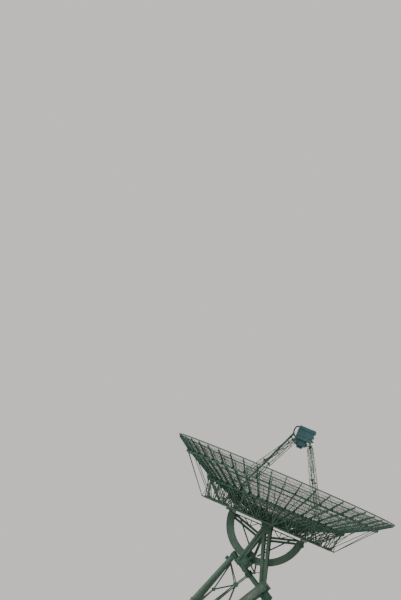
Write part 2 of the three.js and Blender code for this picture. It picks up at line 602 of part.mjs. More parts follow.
// Star frame: struts from a node under the beam to the upper head, the collar, the legs and the ties
const STRUT_SIDES = 4;
const starFrame = () => {
  const star = polar(2940, -1810, 0);
  const knee = at(-5770, 0, -6750);
  const strutTop = polar(UPPER_HEAD_T + 320, -800, 0);
  const onLeg = (way, f) => northLegTop(way).lerp(northFoot(way), f);
  const strut = (from, to, radius) => tube(from, to, radius, STRUT_SIDES);
  const half = v(0, 0, 190);
  const blockAt = (point, size) => member(point.clone().sub(half), point.clone().add(half), size, size);
  const twin = (from, to, radius, spread, endSpread = spread) => [-0.5, 0.5].map((side) => strut(
    from.clone().add(v(side * spread, 0, 0)), to.clone().add(v(side * endSpread, 0, 0)), radius + side));
  const solids = [
    blockAt(star, 460),
    blockAt(knee, 330),
    ...twin(star, strutTop, 60, 200, 60),
    ...twin(star, polar(COLLAR_T + 60, -120, 0), 80, 260),
    strut(star, knee, 85),
    strut(strutTop.clone().lerp(star, 0.07), knee, 95),
  ];
  for (const way of [-1, 1]) {
    solids.push(...twin(star, onLeg(way, 0.82), 70, 260));
    solids.push(strut(knee, onLeg(way, 0.52), 110));
    solids.push(strut(star, tieKnee(way), 95));
  }
  const legTube = (way) => {
    const legTop = past(northFoot(way), northLegTop(way), 1500);
    return tube(legTop, past(northLegTop(way), northFoot(way), 900), NORTH_LEG_R + GAP, 12);
  };
  const whole = fuse(solids).subtract(upperHeadCut).subtract(legTube(-1)).subtract(legTube(1))
    .subtract(aroundBeam(COLLAR_T, 500, COLLAR_R + GAP, 12))
    .subtract(tieBody(-1, GAP)).subtract(tieBody(1, GAP));
  return whole.decompose().sort((one, two) => two.volume() - one.volume())[0];
};
addMesh('star_frame', starFrame(), PAINT);

// The hour drive sits on both ties, with its pinion at the outside of the hour arc
const HOUR_PINION_S = -(ARC_OUT + PINION_R + 15);
const SEAT_T = 5560;
const hourDrive = fuse([
  tube(polar(4520, HOUR_PINION_S, 0), polar(5430, HOUR_PINION_S, 0), PINION_R, 16),
  member(polar(4460, -5060, 0), polar(5500, -5060, 0), 600, 1000),
  member(polar(4900, -5500, 0), polar(4900, -5980, 0), 380, 380),
  member(polar(SEAT_T, -5060, -950), polar(SEAT_T, -5060, 950), 200, 700, poleDown),
]);
const tiesCut = tieTube(-1, TIE_R + GAP).add(tieTube(1, TIE_R + GAP));
addMesh('hour_drive', hourDrive.subtract(tiesCut), PAINT_DARK);

export default telescope;
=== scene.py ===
# %% [markdown]
# # A 25 m radio telescope on a polar mount
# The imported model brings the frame: legs, fork, drive arcs and the backing of the bowl. This
# script paints those parts and adds what is too fine for the frame: wire mesh, purlins, lacing,
# gussets, bolts and racks. All is in metres.

# %% Load the frame
import json
import math

import bmesh
import bpy
from mathutils import Matrix, Vector


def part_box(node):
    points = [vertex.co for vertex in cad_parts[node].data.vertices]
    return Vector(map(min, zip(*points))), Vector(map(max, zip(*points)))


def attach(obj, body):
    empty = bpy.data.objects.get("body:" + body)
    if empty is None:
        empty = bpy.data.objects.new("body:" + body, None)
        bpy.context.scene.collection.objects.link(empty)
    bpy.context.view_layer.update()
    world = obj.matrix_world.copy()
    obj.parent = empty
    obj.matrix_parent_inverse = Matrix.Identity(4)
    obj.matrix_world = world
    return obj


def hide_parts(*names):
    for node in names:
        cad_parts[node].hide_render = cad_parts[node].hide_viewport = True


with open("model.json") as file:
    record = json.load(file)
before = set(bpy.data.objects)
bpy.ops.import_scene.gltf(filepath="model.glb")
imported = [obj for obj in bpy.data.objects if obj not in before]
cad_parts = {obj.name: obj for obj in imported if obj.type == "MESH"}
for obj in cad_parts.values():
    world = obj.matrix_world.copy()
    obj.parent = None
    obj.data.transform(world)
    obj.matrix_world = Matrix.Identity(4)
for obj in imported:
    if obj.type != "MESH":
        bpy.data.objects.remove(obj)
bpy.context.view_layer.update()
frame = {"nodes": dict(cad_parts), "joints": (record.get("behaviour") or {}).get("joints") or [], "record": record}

nodes = frame["nodes"]

# %% [markdown]
# ## Where things are
# The polar axis slopes at the latitude of the site, and the boresight is where the bowl looks.
# Every piece is placed along one of them, from the declination axis or its foot on the beam.

# %% Frames of reference
joint_at = {joint["name"]: Vector(joint["pos_m"]) for joint in frame["joints"]}
DECLINATION_POINT = joint_at["declination_axis"]
POLAR_FOOT = joint_at["hour_axis"]
LATITUDE = math.radians(52.9)
ZENITH_ANGLE = math.radians(23.3)
Y_AXIS = Vector((0, 1, 0))
Z_AXIS = Vector((0, 0, 1))
BORESIGHT = Vector((math.sin(ZENITH_ANGLE), 0, math.cos(ZENITH_ANGLE)))
DISH_X = Vector((math.cos(ZENITH_ANGLE), 0, -math.sin(ZENITH_ANGLE)))
POLE_DOWN = Vector((math.cos(LATITUDE), 0, -math.sin(LATITUDE)))
POLE_OUT = Vector((math.sin(LATITUDE), 0, math.cos(LATITUDE)))


def dish(x, y, z):
    return DECLINATION_POINT + DISH_X * x + Y_AXIS * y + BORESIGHT * z


def around(radius, turn, z):
    return dish(radius * math.cos(turn), radius * math.sin(turn), z)


def polar(t, s, y):
    return POLAR_FOOT + POLE_DOWN * t + POLE_OUT * s + Y_AXIS * y


# %% [markdown]
# The bowl is a paraboloid, but its ribs are straight between five stations. The wire mesh lies
# on the ribs, so its height is read from the same straight stretches.

# %% Numbers of the bowl
RIM_R, FOCAL, VERTEX = 12.5, 8.75, 0.83
RIB_STATIONS = (2.42, 5.0, 7.7, 10.9, 12.39)
RIBS = 48
TURN = 2 * math.pi / RIBS
RIB_TURNS = [(k + 0.5) * TURN for k in range(RIBS + 1)]
FRAMES = 24
FRAME_TURNS = [(k + 0.5) * 2 * math.pi / FRAMES for k in range(FRAMES + 1)]
SKIN = 0.025
RIB_DEEP = 0.17
LOWER_Z = 0.22
CHORD_Z = LOWER_Z - 0.065


def bowl(radius):
    return VERTEX + radius * radius / (4 * FOCAL)


def bowl_top(radius):
    """Height of the mesh over a point, on the straight stretch between two stations."""
    inner, outer = [(a, b) for a, b in zip(RIB_STATIONS, RIB_STATIONS[1:]) if a <= radius <= b][-1]
    share = (radius - inner) / (outer - inner)
    return bowl(inner) * (1 - share) + bowl(outer) * share


print("rim height over the hub:", round(bowl(RIM_R) - VERTEX, 3))

# %% [markdown]
# ## Tools for steelwork
# Steelwork is thousands of bars, round tubes, plates and bolts. Each helper adds one closed
# shape to a bmesh, so a piece of a thousand members is still one object.

# %% Shapes
BOTH_WAYS = (-1, 1)
SIDEWAYS = (-Y_AXIS, Y_AXIS)


def basis(x_axis, y_axis, z_axis, origin):
    matrix = Matrix((x_axis, y_axis, z_axis)).transposed().to_4x4()
    matrix.translation = origin
    return matrix


def bar(bm, start, end, wide, deep, side=Y_AXIS):
    """A straight bar with a box section. side is the direction of its width."""
    along = end - start
    length = along.length
    along = along.normalized()
    across = (side - along * side.dot(along)).normalized()
    place = basis(across, along.cross(across), along, (start + end) / 2)
    bmesh.ops.create_cube(bm, size=1, matrix=place @ Matrix.Diagonal((wide, deep, length, 1)))


def rod(bm, start, end, radius, sides=6, end_radius=None):
    """A round bar, or a cone if end_radius is given."""
    along = end - start
    turn = along.to_track_quat("Z", "Y").to_matrix().to_4x4()
    bmesh.ops.create_cone(
        bm, cap_ends=True, cap_tris=False, segments=sides, radius1=radius,
        radius2=radius if end_radius is None else end_radius, depth=along.length,
        matrix=Matrix.Translation((start + end) / 2) @ turn)


def bolt_circle(bm, centre, axis, radius, count, size, height):
    """Hexagon heads round a flange. axis is the way they stand up."""
    axis = axis.normalized()
    across = axis.orthogonal().normalized()
    for k in range(count):
        spot = centre + Matrix.Rotation(2 * math.pi * k / count, 3, axis) @ across * radius
        rod(bm, spot - axis * 0.004, spot + axis * height, size, 6)


def plate(bm, centre, normal, along, wide, long, thick):
    """A flat plate: wide across, long along, thick along its normal."""
    along = (along - normal * along.dot(normal)).normalized()
    bar(bm, centre - along * (long / 2), centre + along * (long / 2), thick, wide, normal)


# %% [markdown]
# Round parts are made as a lathe makes them: a profile beside the axis is spun a full turn. The
# bowl repeats itself round the boresight, so a hoop of straight bars and a pair of crossed bars
# have helpers of their own.

# %% Turned parts, hoops and crosses
def turned(bm, centre, axis, profile, steps=40):
    """Spins a closed profile of (distance along the axis, radius) points a full turn."""
    axis = axis.normalized()
    outward = axis.orthogonal().normalized()
    corners = [bm.verts.new(centre + axis * along + outward * radius) for along, radius in profile]
    edges = [bm.edges.new(pair) for pair in zip(corners, corners[1:] + corners[:1])]
    bmesh.ops.spin(bm, geom=corners + edges, cent=centre, axis=axis, angle=2 * math.pi,
                   steps=steps, use_merge=True)
    bmesh.ops.remove_doubles(bm, verts=bm.verts, dist=1e-5)


def hoop(bm, radius, height, turns, size):
    """Straight square bars from each turn to the next."""
    for a, b in zip(turns, turns[1:]):
        bar(bm, around(radius, a, height), around(radius, b, height), size, size, BORESIGHT)


def crossed_bars(bm, a, b, inner, outer, side=Y_AXIS, lift=0.0):
    """Two bars that cross between the turns a and b. inner and outer are (radius, height)."""
    (near, low), (far, high) = inner, outer
    bar(bm, around(near, a, low), around(far, b, high), *THIN_BAR, side)
    bar(bm, around(near, b, low + lift), around(far, a, high + lift), *THIN_BAR, side)


def gusset_pair(bm, spot, turn, apart, wide, long, thick):
    """A plate on each side of a frame that stands radially at this turn."""
    across = (around(1, turn, 0) - around(0, turn, 0)).normalized().cross(BORESIGHT)
    for way in BOTH_WAYS:
        plate(bm, spot + across * way * apart, across, BORESIGHT, wide, long, thick)


# %% [markdown]
# A function fills a new bmesh, and one call makes a finished piece of it, under the function's
# name: normals set right, linked, painted and put on its body. Round members are
# shaded smooth, with every edge sharper than 35 degrees left hard.

# %% Finishing a piece
SHARP = math.radians(35)


def finish_piece(fill, body, finish, *values, name="", bevel=0.0):
    slot, material = finish
    name = name or fill.__name__
    bm = bmesh.new()
    fill(bm, *values)
    bmesh.ops.recalc_face_normals(bm, faces=bm.faces)
    mesh = bpy.data.meshes.new(name)
    bm.to_mesh(mesh)
    bm.free()
    mesh.shade_smooth()
    mesh.set_sharp_from_angle(angle=SHARP)
    mesh.materials.append(material)
    obj = bpy.data.objects.new(name, mesh)
    bpy.context.scene.collection.objects.link(obj)
    if bevel:
        edge = obj.modifiers.new("edges", "BEVEL")
        edge.width = bevel
        edge.segments = 2
        edge.limit_method = "ANGLE"
    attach(obj, body)
    print(f"{name}: {len(mesh.polygons)} faces on {body}")
    return obj


# %% [markdown]
# ## Paint on steel
# Old paint is never one colour. Broad noise gives cloudy fading, noise stretched along the
# vertical gives rain streaks, and fine noise breaks up the gloss. A little rust sits where
# another noise is highest. All of it reads Object coordinates, which are metres here.

# %% A paint recipe
def noise(tree, coords, scale, detail, stretch=(1, 1, 1)):
    mapping = tree.nodes.new("ShaderNodeMapping")
    mapping.inputs["Scale"].default_value = stretch
    tree.links.new(coords, mapping.inputs["Vector"])
    made = tree.nodes.new("ShaderNodeTexNoise")
    made.inputs["Scale"].default_value = scale
    made.inputs["Detail"].default_value = detail
    tree.links.new(mapping.outputs["Vector"], made.inputs["Vector"])
    return made.outputs["Fac"]


def ramp(tree, value, stops):
    made = tree.nodes.new("ShaderNodeValToRGB")
    tree.links.new(value, made.inputs["Fac"])
    elements = made.color_ramp.elements
    while len(elements) < len(stops):
        elements.new(0.5)
    for element, (position, colour) in zip(elements, stops):
        element.position = position
        element.color = (*colour, 1)
    return made.outputs["Color"]


def mix(tree, factor, first, second):
    """Mixes two colours. Their sockets are the mix node's seventh and eighth."""
    made = tree.nodes.new("ShaderNodeMix")
    made.data_type = "RGBA"
    for index, value in ((0, factor), (6, first), (7, second)):
        if isinstance(value, tuple):
            made.inputs[index].default_value = (*value, 1)
        else:
            tree.links.new(value, made.inputs[index])
    return made.outputs[2]


def grey(low, high):
    return [(0.0, (low,) * 3), (1.0, (high,) * 3)]


def new_material(name):
    material = bpy.data.materials.new(name)
    material.use_nodes = True
    tree = material.node_tree
    shader = tree.nodes["Principled BSDF"]
    coords = tree.nodes.new("ShaderNodeTexCoord").outputs["Object"]
    return material, tree, shader, coords


def clouded_material(name, scale, detail, dark, light, roughness):
    """Noise that fades between two colours, and one roughness."""
    material, tree, shader, coords = new_material(name)
    colour = ramp(tree, noise(tree, coords, scale, detail), [(0.3, dark), (0.7, light)])
    tree.links.new(colour, shader.inputs["Base Color"])
    shader.inputs["Roughness"].default_value = roughness
    return material, tree, shader, coords


def add_bump(tree, shader, height, strength, distance):
    bump = tree.nodes.new("ShaderNodeBump")
    bump.inputs["Strength"].default_value = strength
    bump.inputs["Distance"].default_value = distance
    tree.links.new(height, bump.inputs["Height"])
    tree.links.new(bump.outputs["Normal"], shader.inputs["Normal"])


RUST = (0.13, 0.05, 0.022)


def painted_steel(name, colour, faded, rust=0.5, gloss=(0.42, 0.68)):
    material, tree, shader, coords = new_material(name)
    clouds = noise(tree, coords, 0.9, 6)
    streaks = noise(tree, coords, 3.0, 4, (2.2, 2.2, 0.22))
    grain = noise(tree, coords, 26, 5)
    fading = ramp(tree, clouds, [(0.35, (0, 0, 0)), (0.68, (1, 1, 1))])
    base = mix(tree, fading, colour, faded)
    dirty = tuple(channel * 0.55 for channel in colour)
    runs = ramp(tree, streaks, [(0.50, (0, 0, 0)), (0.74, (0.7, 0.7, 0.7))])
    base = mix(tree, runs, base, dirty)
    specks = noise(tree, coords, 7.0, 8)
    spots = ramp(tree, specks, [(0.66, (0, 0, 0)), (0.73, (rust, rust, rust))])
    base = mix(tree, spots, base, RUST)
    tree.links.new(base, shader.inputs["Base Color"])
    tree.links.new(ramp(tree, grain, grey(*gloss)), shader.inputs["Roughness"])
    add_bump(tree, shader, grain, 0.25, 0.004)
    return material


PAINT = painted_steel("grey_green_paint", (0.036, 0.088, 0.062), (0.058, 0.116, 0.084))
# The second paint is the same green steel paint made darker and more saturated: painted shade, for the parts that
# sit in shade under the bowl and in the drives.
SHADED_STEEL_PAINT = painted_steel("green_paint_darkened_as_shade", (0.013, 0.068, 0.050), (0.024, 0.088, 0.066), 0.35)
FEED_PAINT = painted_steel("blue_green_paint", (0.008, 0.064, 0.074), (0.018, 0.092, 0.104), 0.25,
                           (0.30, 0.5))
BARE_STEEL = painted_steel("worn_bare_steel", (0.16, 0.16, 0.15), (0.26, 0.26, 0.24), 0.8,
                           (0.30, 0.5))
BARE_STEEL.node_tree.nodes["Principled BSDF"].inputs["Metallic"].default_value = 0.7
WIRE_STEEL = painted_steel("galvanised_wire", (0.085, 0.105, 0.092), (0.14, 0.165, 0.148), 0.3)
print("paints:", [m.name for m in (PAINT, SHADED_STEEL_PAINT, FEED_PAINT, BARE_STEEL, WIRE_STEEL)])

# %% [markdown]
# Cast concrete is pale and blotched, darker towards the foot, with pores as
# small pits in the bump.

# %% Concrete
def cast_concrete():
    material, tree, shader, coords = new_material("cast_concrete")
    clouds = noise(tree, coords, 1.6, 7)
    colour = ramp(tree, clouds, [(0.3, (0.30, 0.29, 0.26)), (0.7, (0.47, 0.45, 0.41))])
    split = tree.nodes.new("ShaderNodeSeparateXYZ")
    tree.links.new(coords, split.inputs[0])
    # Darker towards the foot: the lowest 0.45 m mixes towards a dark grey-green.
    darker_foot = ramp(tree, split.outputs["Z"], [(0.0, (0.8, 0.8, 0.8)), (0.45, (0, 0, 0))])
    colour = mix(tree, darker_foot, colour, (0.13, 0.135, 0.10))
    tree.links.new(colour, shader.inputs["Base Color"])
    shader.inputs["Roughness"].default_value = 0.92
    pores = tree.nodes.new("ShaderNodeTexVoronoi")
    pores.inputs["Scale"].default_value = 28
    tree.links.new(coords, pores.inputs["Vector"])
    add_bump(tree, shader, pores.outputs["Distance"], 0.5, 0.01)
    return material


CONCRETE = cast_concrete()

# %% [markdown]
# The wire mesh is so fine that from any distance it is a thin grey veil: most of the light goes
# through. The sheet is real geometry, and its alpha is low, with a little more where dirt and
# the seams between the strips of mesh make it denser.

# %% Wire mesh
VEIL = 0.10


def wire_veil():
    material, tree, shader, coords = clouded_material(
        "fine_wire_mesh", 0.5, 4, (0.20, 0.24, 0.21), (0.34, 0.37, 0.33), 0.55)
    alpha = ramp(tree, noise(tree, coords, 0.8, 6), grey(VEIL * 0.7, VEIL * 1.5))
    tree.links.new(alpha, shader.inputs["Alpha"])
    return material


MESH_WIRE = wire_veil()

# %% [markdown]
# A finish is a slot of the record with the material that is its look. The frame's own nodes
# keep their shape and take these finishes by the slot that the record gives them.

# %% Paint the frame
MAIN, DARK = ("steelwork_paint", PAINT), ("steelwork_dark", SHADED_STEEL_PAINT)
FEED, MESH = ("receiver_paint", FEED_PAINT), ("reflector_mesh", MESH_WIRE)
BARE, WIRES = ("steelwork_dark", BARE_STEEL), ("reflector_mesh", WIRE_STEEL)
SLOT_FINISH = dict((MAIN, DARK, FEED, MESH, ("plinth_concrete", CONCRETE)))
slot_of = {part["node"]: part["material_slot"] for part in frame["record"]["subparts"]}
for name, obj in nodes.items():
    finish = SLOT_FINISH[slot_of[name]]
    obj.data.materials.clear()
    obj.data.materials.append(finish)
print("painted nodes:", len(nodes))

# %% [markdown]
# ## The reflecting surface
# On the real bowl, sheets of fine wire mesh are laid on the ribs. One profile across the mesh is
# spun round the boresight, which gives the sheet its straight stretches, and a thin wall.

# %% Mesh sheet
MESH_THICK = 0.006
SHEET_STEPS = 96


def spin_bowl(bm, geometry):
    bmesh.ops.spin(bm, geom=geometry, cent=DECLINATION_POINT, axis=BORESIGHT,
                   angle=2 * math.pi, steps=SHEET_STEPS, use_merge=True)
    bmesh.ops.remove_doubles(bm, verts=bm.verts, dist=1e-4)


def mesh_sheet(bm):
    corners = [bm.verts.new(around(radius, 0, bowl(radius))) for radius in RIB_STATIONS]
    spin_bowl(bm, corners + [bm.edges.new(pair) for pair in zip(corners, corners[1:])])
    bmesh.ops.recalc_face_normals(bm, faces=bm.faces)
    if sum(face.normal.dot(BORESIGHT) for face in bm.faces) < 0:
        bmesh.ops.reverse_faces(bm, faces=bm.faces)
    bmesh.ops.solidify(bm, geom=bm.faces[:], thickness=MESH_THICK)


sheet = finish_piece(mesh_sheet, "reflector", MESH)
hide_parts("mesh_panel_1", "mesh_panel_2", "mesh_panel_3", "mesh_panel_4")

# %% [markdown]
# The finest wires are left to the see-through sheet, but the stiff ones are real: hoops spun
# round the boresight and short straight wires across them. Seen along the surface they close
# up, as on the real bowl, and elsewhere they leave it airy.

# %% Stiff wires
WIRE = 0.010
WIRE_PITCH = 0.12
WIRE_DROP = MESH_THICK + WIRE / 2 + 0.003
WIRES_IN_BAY = (3, 5, 8, 9)
FIRST_HOOP = RIB_STATIONS[0] + WIRE_PITCH / 2


def hoop_wires(bm):
    geometry = []
    for k in range(int((RIB_STATIONS[-1] - RIB_STATIONS[0]) / WIRE_PITCH)):
        radius = FIRST_HOOP + k * WIRE_PITCH
        height = bowl_top(radius) - WIRE_DROP
        corners = [bm.verts.new(around(radius + x * WIRE / 2, 0, height + z * WIRE / 2))
                   for x, z in ((-1, -1), (1, -1), (1, 1), (-1, 1))]
        geometry += corners
        geometry += [bm.edges.new((corners[i], corners[i - 1])) for i in range(4)]
    spin_bowl(bm, geometry)


def cross_wires(bm):
    for inner, outer, count in zip(RIB_STATIONS, RIB_STATIONS[1:], WIRES_IN_BAY):
        low, high = bowl_top(inner) - WIRE_DROP, bowl_top(outer) - WIRE_DROP
        for rib_turn in RIB_TURNS[:-1]:
            for i in range(count):
                turn = rib_turn + TURN * (i + 1) / (count + 1)
                bar(bm, around(inner, turn, low), around(outer, turn, high), WIRE, WIRE, BORESIGHT)


finish_piece(hoop_wires, "reflector", WIRES)
finish_piece(cross_wires, "reflector", WIRES)

# %% [markdown]
# Inside the hub ring a flat round hatch closes the bowl. It is a wheel of flat bars with three
# hoops, hoops of wire and a sheet of mesh on top.

# %% Hub hatch
HATCH_R, HATCH_HUB_R = 2.41, 0.36
HATCH_Z = bowl(RIB_STATIONS[0]) - 0.05
HATCH_SPOKES = 16
HATCH_TURNS = [k * math.pi / HATCH_SPOKES for k in range(2 * HATCH_SPOKES + 1)]
HATCH_HOOPS = ((HATCH_HUB_R, 0.09), (1.3, 0.06), (2.34, 0.09))
HATCH_WIRES, FIRST_HATCH_WIRE = 17, 0.42
WIRE_RISE, SHEET_RISE = 0.034, 0.040


def hub_hatch(bm):
    for turn in HATCH_TURNS[:-1:2]:
        bar(bm, around(HATCH_HUB_R, turn, HATCH_Z), around(HATCH_R, turn, HATCH_Z),
            0.06, 0.07, BORESIGHT)
    for radius, size in HATCH_HOOPS:
        hoop(bm, radius, HATCH_Z, HATCH_TURNS, size)
    for k in range(HATCH_WIRES):
        hoop(bm, FIRST_HATCH_WIRE + k * WIRE_PITCH, HATCH_Z + WIRE_RISE, HATCH_TURNS, WIRE)


def hatch_sheet(bm):
    place = basis(DISH_X, Y_AXIS, BORESIGHT, dish(0, 0, HATCH_Z + SHEET_RISE))
    bmesh.ops.create_circle(bm, cap_ends=True, segments=64, radius=HATCH_R - 0.02, matrix=place)
    bmesh.ops.solidify(bm, geom=bm.faces[:], thickness=MESH_THICK)


finish_piece(hub_hatch, "reflector", DARK)
finish_piece(hatch_sheet, "reflector", MESH)

# %% [markdown]
# Between the ribs the mesh lies on light purlins, hoop after hoop, and thin rods cross the bays
# between the rings to keep the ribs from leaning. Both are straight from rib to rib.

# %% Purlins and crossed rods
PURLIN_RADII = (3.05, 3.7, 4.35, 5.65, 6.3, 7.0, 8.35, 9.0, 9.65, 10.28, 11.27, 11.65, 12.03)
PURLIN_SIZE = 0.045
PURLIN_DROP = SKIN + PURLIN_SIZE / 2 + 0.002
ROD_BAYS = ((5.1, 7.6), (7.8, 10.8), (11.0, 12.36))
ROD_DROP = SKIN + 0.10
ROD_R = 0.013


def purlins(bm):
    for radius in PURLIN_RADII:
        hoop(bm, radius, bowl_top(radius) - PURLIN_DROP, RIB_TURNS, PURLIN_SIZE)


def crossed_rods(bm):
    for inner, outer in ROD_BAYS:
        low, high = bowl_top(inner) - ROD_DROP, bowl_top(outer) - ROD_DROP
        for a, b in zip(RIB_TURNS, RIB_TURNS[1:]):
            rod(bm, around(inner, a, low), around(outer, b, high), ROD_R, 4)
            rod(bm, around(inner, b, low), around(outer, a, high), ROD_R, 4)


finish_piece(purlins, "reflector", DARK)
finish_piece(crossed_rods, "reflector", DARK)

# %% [markdown]
# ## Rings and gussets
# Where a rib crosses a ring, a gusset plate on each side of the rib ties the two together. The
# rings are bolted up from pieces, with a pair of end plates in the middle of each bay.

# %% Gussets under the ribs
RING_CROSSINGS = ((10.9, 0.18, 0.16), (7.7, 0.24, 0.20))
GUSSET_THICK, JOINT_THICK = 0.014, 0.018
RIB_SIDE, JOINT_SIDE = 0.054, 0.02


def ring_gussets(bm):
    for radius, deep, wide in RING_CROSSINGS:
        under_rib = bowl_top(radius) - SKIN - RIB_DEEP
        for turn in RIB_TURNS[:-1]:
            gusset_pair(bm, around(radius, turn, under_rib - deep * 0.25), turn, RIB_SIDE,
                        wide * 2.4, deep * 1.3, GUSSET_THICK)
            middle = turn + TURN / 2
            joint = around(radius * math.cos(TURN / 2), middle, under_rib - deep / 2)
            gusset_pair(bm, joint, middle, JOINT_SIDE, wide * 1.55, deep * 1.45, JOINT_THICK)


finish_piece(ring_gussets, "reflector", DARK)

# %% [markdown]
# ## Finer bracing of the backing truss
# The real backing is denser than the 24 radial frames: hoops join them, crossed bars brace each
# bay, and short posts run from the chord to the ribs.

# %% Truss bracing
HOOP, RIB_HOOP = 0.07, 0.06
THIN_BAR = (0.055, 0.05)
POST_R, POST_DROP = 0.035, SKIN + RIB_DEEP + 0.1
INNER_HOOPS = (3.7, 6.5)
RIB_HOOPS, RIB_HOOP_DROP = (3.7, 4.35, 6.4), SKIN + RIB_DEEP + 0.045
FLAT_BAYS = ((2.7, 3.7), (3.7, 5.55), (5.65, 7.2))
STEEP_BAYS = (((5.6, CHORD_Z), (7.55, bowl(7.7) - 0.42)),
              ((3.7, CHORD_Z), (4.95, bowl(5.0) - 0.28)))
OUTER_BAY = ((7.62, LOWER_Z - 0.08), (7.72, bowl(7.7) - 0.50))
FRAME_BAYS = list(zip(FRAME_TURNS, FRAME_TURNS[1:]))
FRAME_SIDE = 0.073
TRUSS_GUSSETS = ((5.6, CHORD_Z + 0.05, 0.52, 0.26), (7.16, CHORD_Z + 0.06, 0.40, 0.30),
                 (2.62, CHORD_Z + 0.06, 0.36, 0.30))


def inner_bracing(bm):
    for radius in INNER_HOOPS:
        hoop(bm, radius, CHORD_Z, FRAME_TURNS, HOOP)
    for a, b in FRAME_BAYS:
        for inner, outer in FLAT_BAYS:
            crossed_bars(bm, a, b, (inner, CHORD_Z), (outer, CHORD_Z), BORESIGHT, 0.01)
        for inner, outer in STEEP_BAYS:
            crossed_bars(bm, a, b, inner, outer)
        for radius in INNER_HOOPS:
            top = around(radius, a, bowl(radius) - POST_DROP)
            rod(bm, around(radius, a, CHORD_Z), top, POST_R, 6)


def rib_hoops(bm):
    for radius in RIB_HOOPS:
        hoop(bm, radius, bowl_top(radius) - RIB_HOOP_DROP, RIB_TURNS, RIB_HOOP)


def outer_bracing(bm):
    for a, b in FRAME_BAYS[::2]:
        crossed_bars(bm, a, b, *OUTER_BAY)


def truss_gussets(bm):
    for turn in FRAME_TURNS[:-1]:
        for radius, height, wide, long in TRUSS_GUSSETS:
            spot = around(radius, turn, height)
            gusset_pair(bm, spot, turn, FRAME_SIDE, wide, long, GUSSET_THICK)


finish_piece(inner_bracing, "reflector", MAIN)
finish_piece(rib_hoops, "reflector", DARK)
finish_piece(outer_bracing, "reflector", MAIN)
finish_piece(truss_gussets, "reflector", MAIN)

# %% [markdown]
# ## Feed legs
# Each leg is a light lattice mast: three chords, with a zigzag of thin rods on each of its three
# faces. The chords are in the frame; the zigzag is found by walking up the same three lines.

# %% Leg lacing
LEG_TURNS = {"south_far": 52.5, "north_far": 127.5, "north_near": 232.5, "south_near": 307.5}
LEG_FOOT_R = 7.7
LEG_TOP_X, LEG_TOP_Y, LEG_TOP_Z = 0.78, 0.64, 9.76
LEG_FOOT_TRIM, LEG_TOP_TRIM = 0.52, 0.42
LEG_REACH = 0.31
LEG_BAYS = 13
LACE_R = 0.016


def leg_lines(degrees):
    turn = math.radians(degrees)
    foot = around(LEG_FOOT_R, turn, bowl(LEG_FOOT_R))
    top = dish(math.copysign(LEG_TOP_X, math.cos(turn)), math.copysign(LEG_TOP_Y, math.sin(turn)),
               LEG_TOP_Z)
    along = (top - foot).normalized()
    out = along.cross(Y_AXIS).normalized()
    across = out.cross(along).normalized()
    angles = [k * 2 * math.pi / 3 + math.pi / 2 for k in range(3)]
    corners = [(out * math.cos(a) + across * math.sin(a)) * LEG_REACH for a in angles]
    return foot + along * LEG_FOOT_TRIM, top - along * LEG_TOP_TRIM, corners


def leg_lacing(bm, degrees):
    low, high, corners = leg_lines(degrees)
    for k in range(LEG_BAYS):
        start = low.lerp(high, k / LEG_BAYS)
        end = low.lerp(high, (k + 1) / LEG_BAYS)
        for face in range(3):
            first, second = corners[face], corners[(face + 1) % 3]
            if k % 2:
                first, second = second, first
            rod(bm, start + first, end + second, LACE_R, 6)
            if k % 3 == 2:
                rod(bm, end + first, end + second, LACE_R, 6)


for name, degrees in LEG_TURNS.items():
    finish_piece(leg_lacing, "reflector", MAIN, degrees, name=f"leg_lacing_{name}")

# %% [markdown]
# ## The receiver box
# The box at the focus is sheet metal on a frame. It is built from blocks: the sides get an inset
# for each panel and a bevel on every edge, and the lid overhangs them.

# %% Box body and lid
LOWER_BOX_Z, BOX_TOP_Z = 9.12, 10.82
LID_MIDDLE_X = 0.07
HORN_X = -0.13
LID_STEPS = ((0.93, 0.83, 0.001, 0.31), (0.87, 0.77, 0.30, 0.355))
LID_RIBS, LID_RIB_PITCH = 7, 0.26


def block(bm, low, high):
    """A box between two corners in the bowl's own directions."""
    middle = [(a + b) / 2 for a, b in zip(low, high)]
    size = [b - a for a, b in zip(low, high)]
    place = basis(DISH_X, Y_AXIS, BORESIGHT, dish(*middle))
    bmesh.ops.create_cube(bm, size=1, matrix=place @ Matrix.Diagonal((*size, 1)))


def level(direction):
    return abs(direction.normalized().dot(BORESIGHT)) < 0.5


def panelled_block(bm, low, high, rim, depth, cuts):
    """A block whose sides are cut into panels, each set in behind a rim."""
    old_edges, old_faces = set(bm.edges), set(bm.faces)
    block(bm, low, high)
    edges = [edge for edge in bm.edges
             if edge not in old_edges and level(edge.verts[0].co - edge.verts[1].co)]
    bmesh.ops.subdivide_edges(bm, edges=edges, cuts=cuts, use_grid_fill=True)
    sides = [face for face in bm.faces if face not in old_faces and level(face.normal)]
    bmesh.ops.inset_individual(bm, faces=sides, thickness=rim, depth=-depth)


def receiver_box(bm):
    panelled_block(bm, (-0.9, -0.78, LEG_TOP_Z), (0.9, 0.78, BOX_TOP_Z), 0.05, 0.012, 2)
    panelled_block(bm, (-0.7, -0.5, LOWER_BOX_Z), (0.44, 0.5, LEG_TOP_Z - 0.001), 0.045, 0.012, 1)
    rod(bm, dish(HORN_X, 0, 9.12), dish(HORN_X, 0, 9.03), 0.40, 32, 0.40)
    rod(bm, dish(HORN_X, 0, 9.04), dish(HORN_X, 0, 8.86), 0.30, 32, 0.36)


def receiver_lid(bm):
    for half, deep, low, high in LID_STEPS:
        block(bm, (LID_MIDDLE_X - half, -deep, BOX_TOP_Z + low),
              (LID_MIDDLE_X + half, deep, BOX_TOP_Z + high))
    for k in range(LID_RIBS):
        x = LID_MIDDLE_X + LID_RIB_PITCH * (k - LID_RIBS // 2)
        block(bm, (x - 0.025, -0.72, BOX_TOP_Z + 0.35), (x + 0.025, 0.72, BOX_TOP_Z + 0.385))


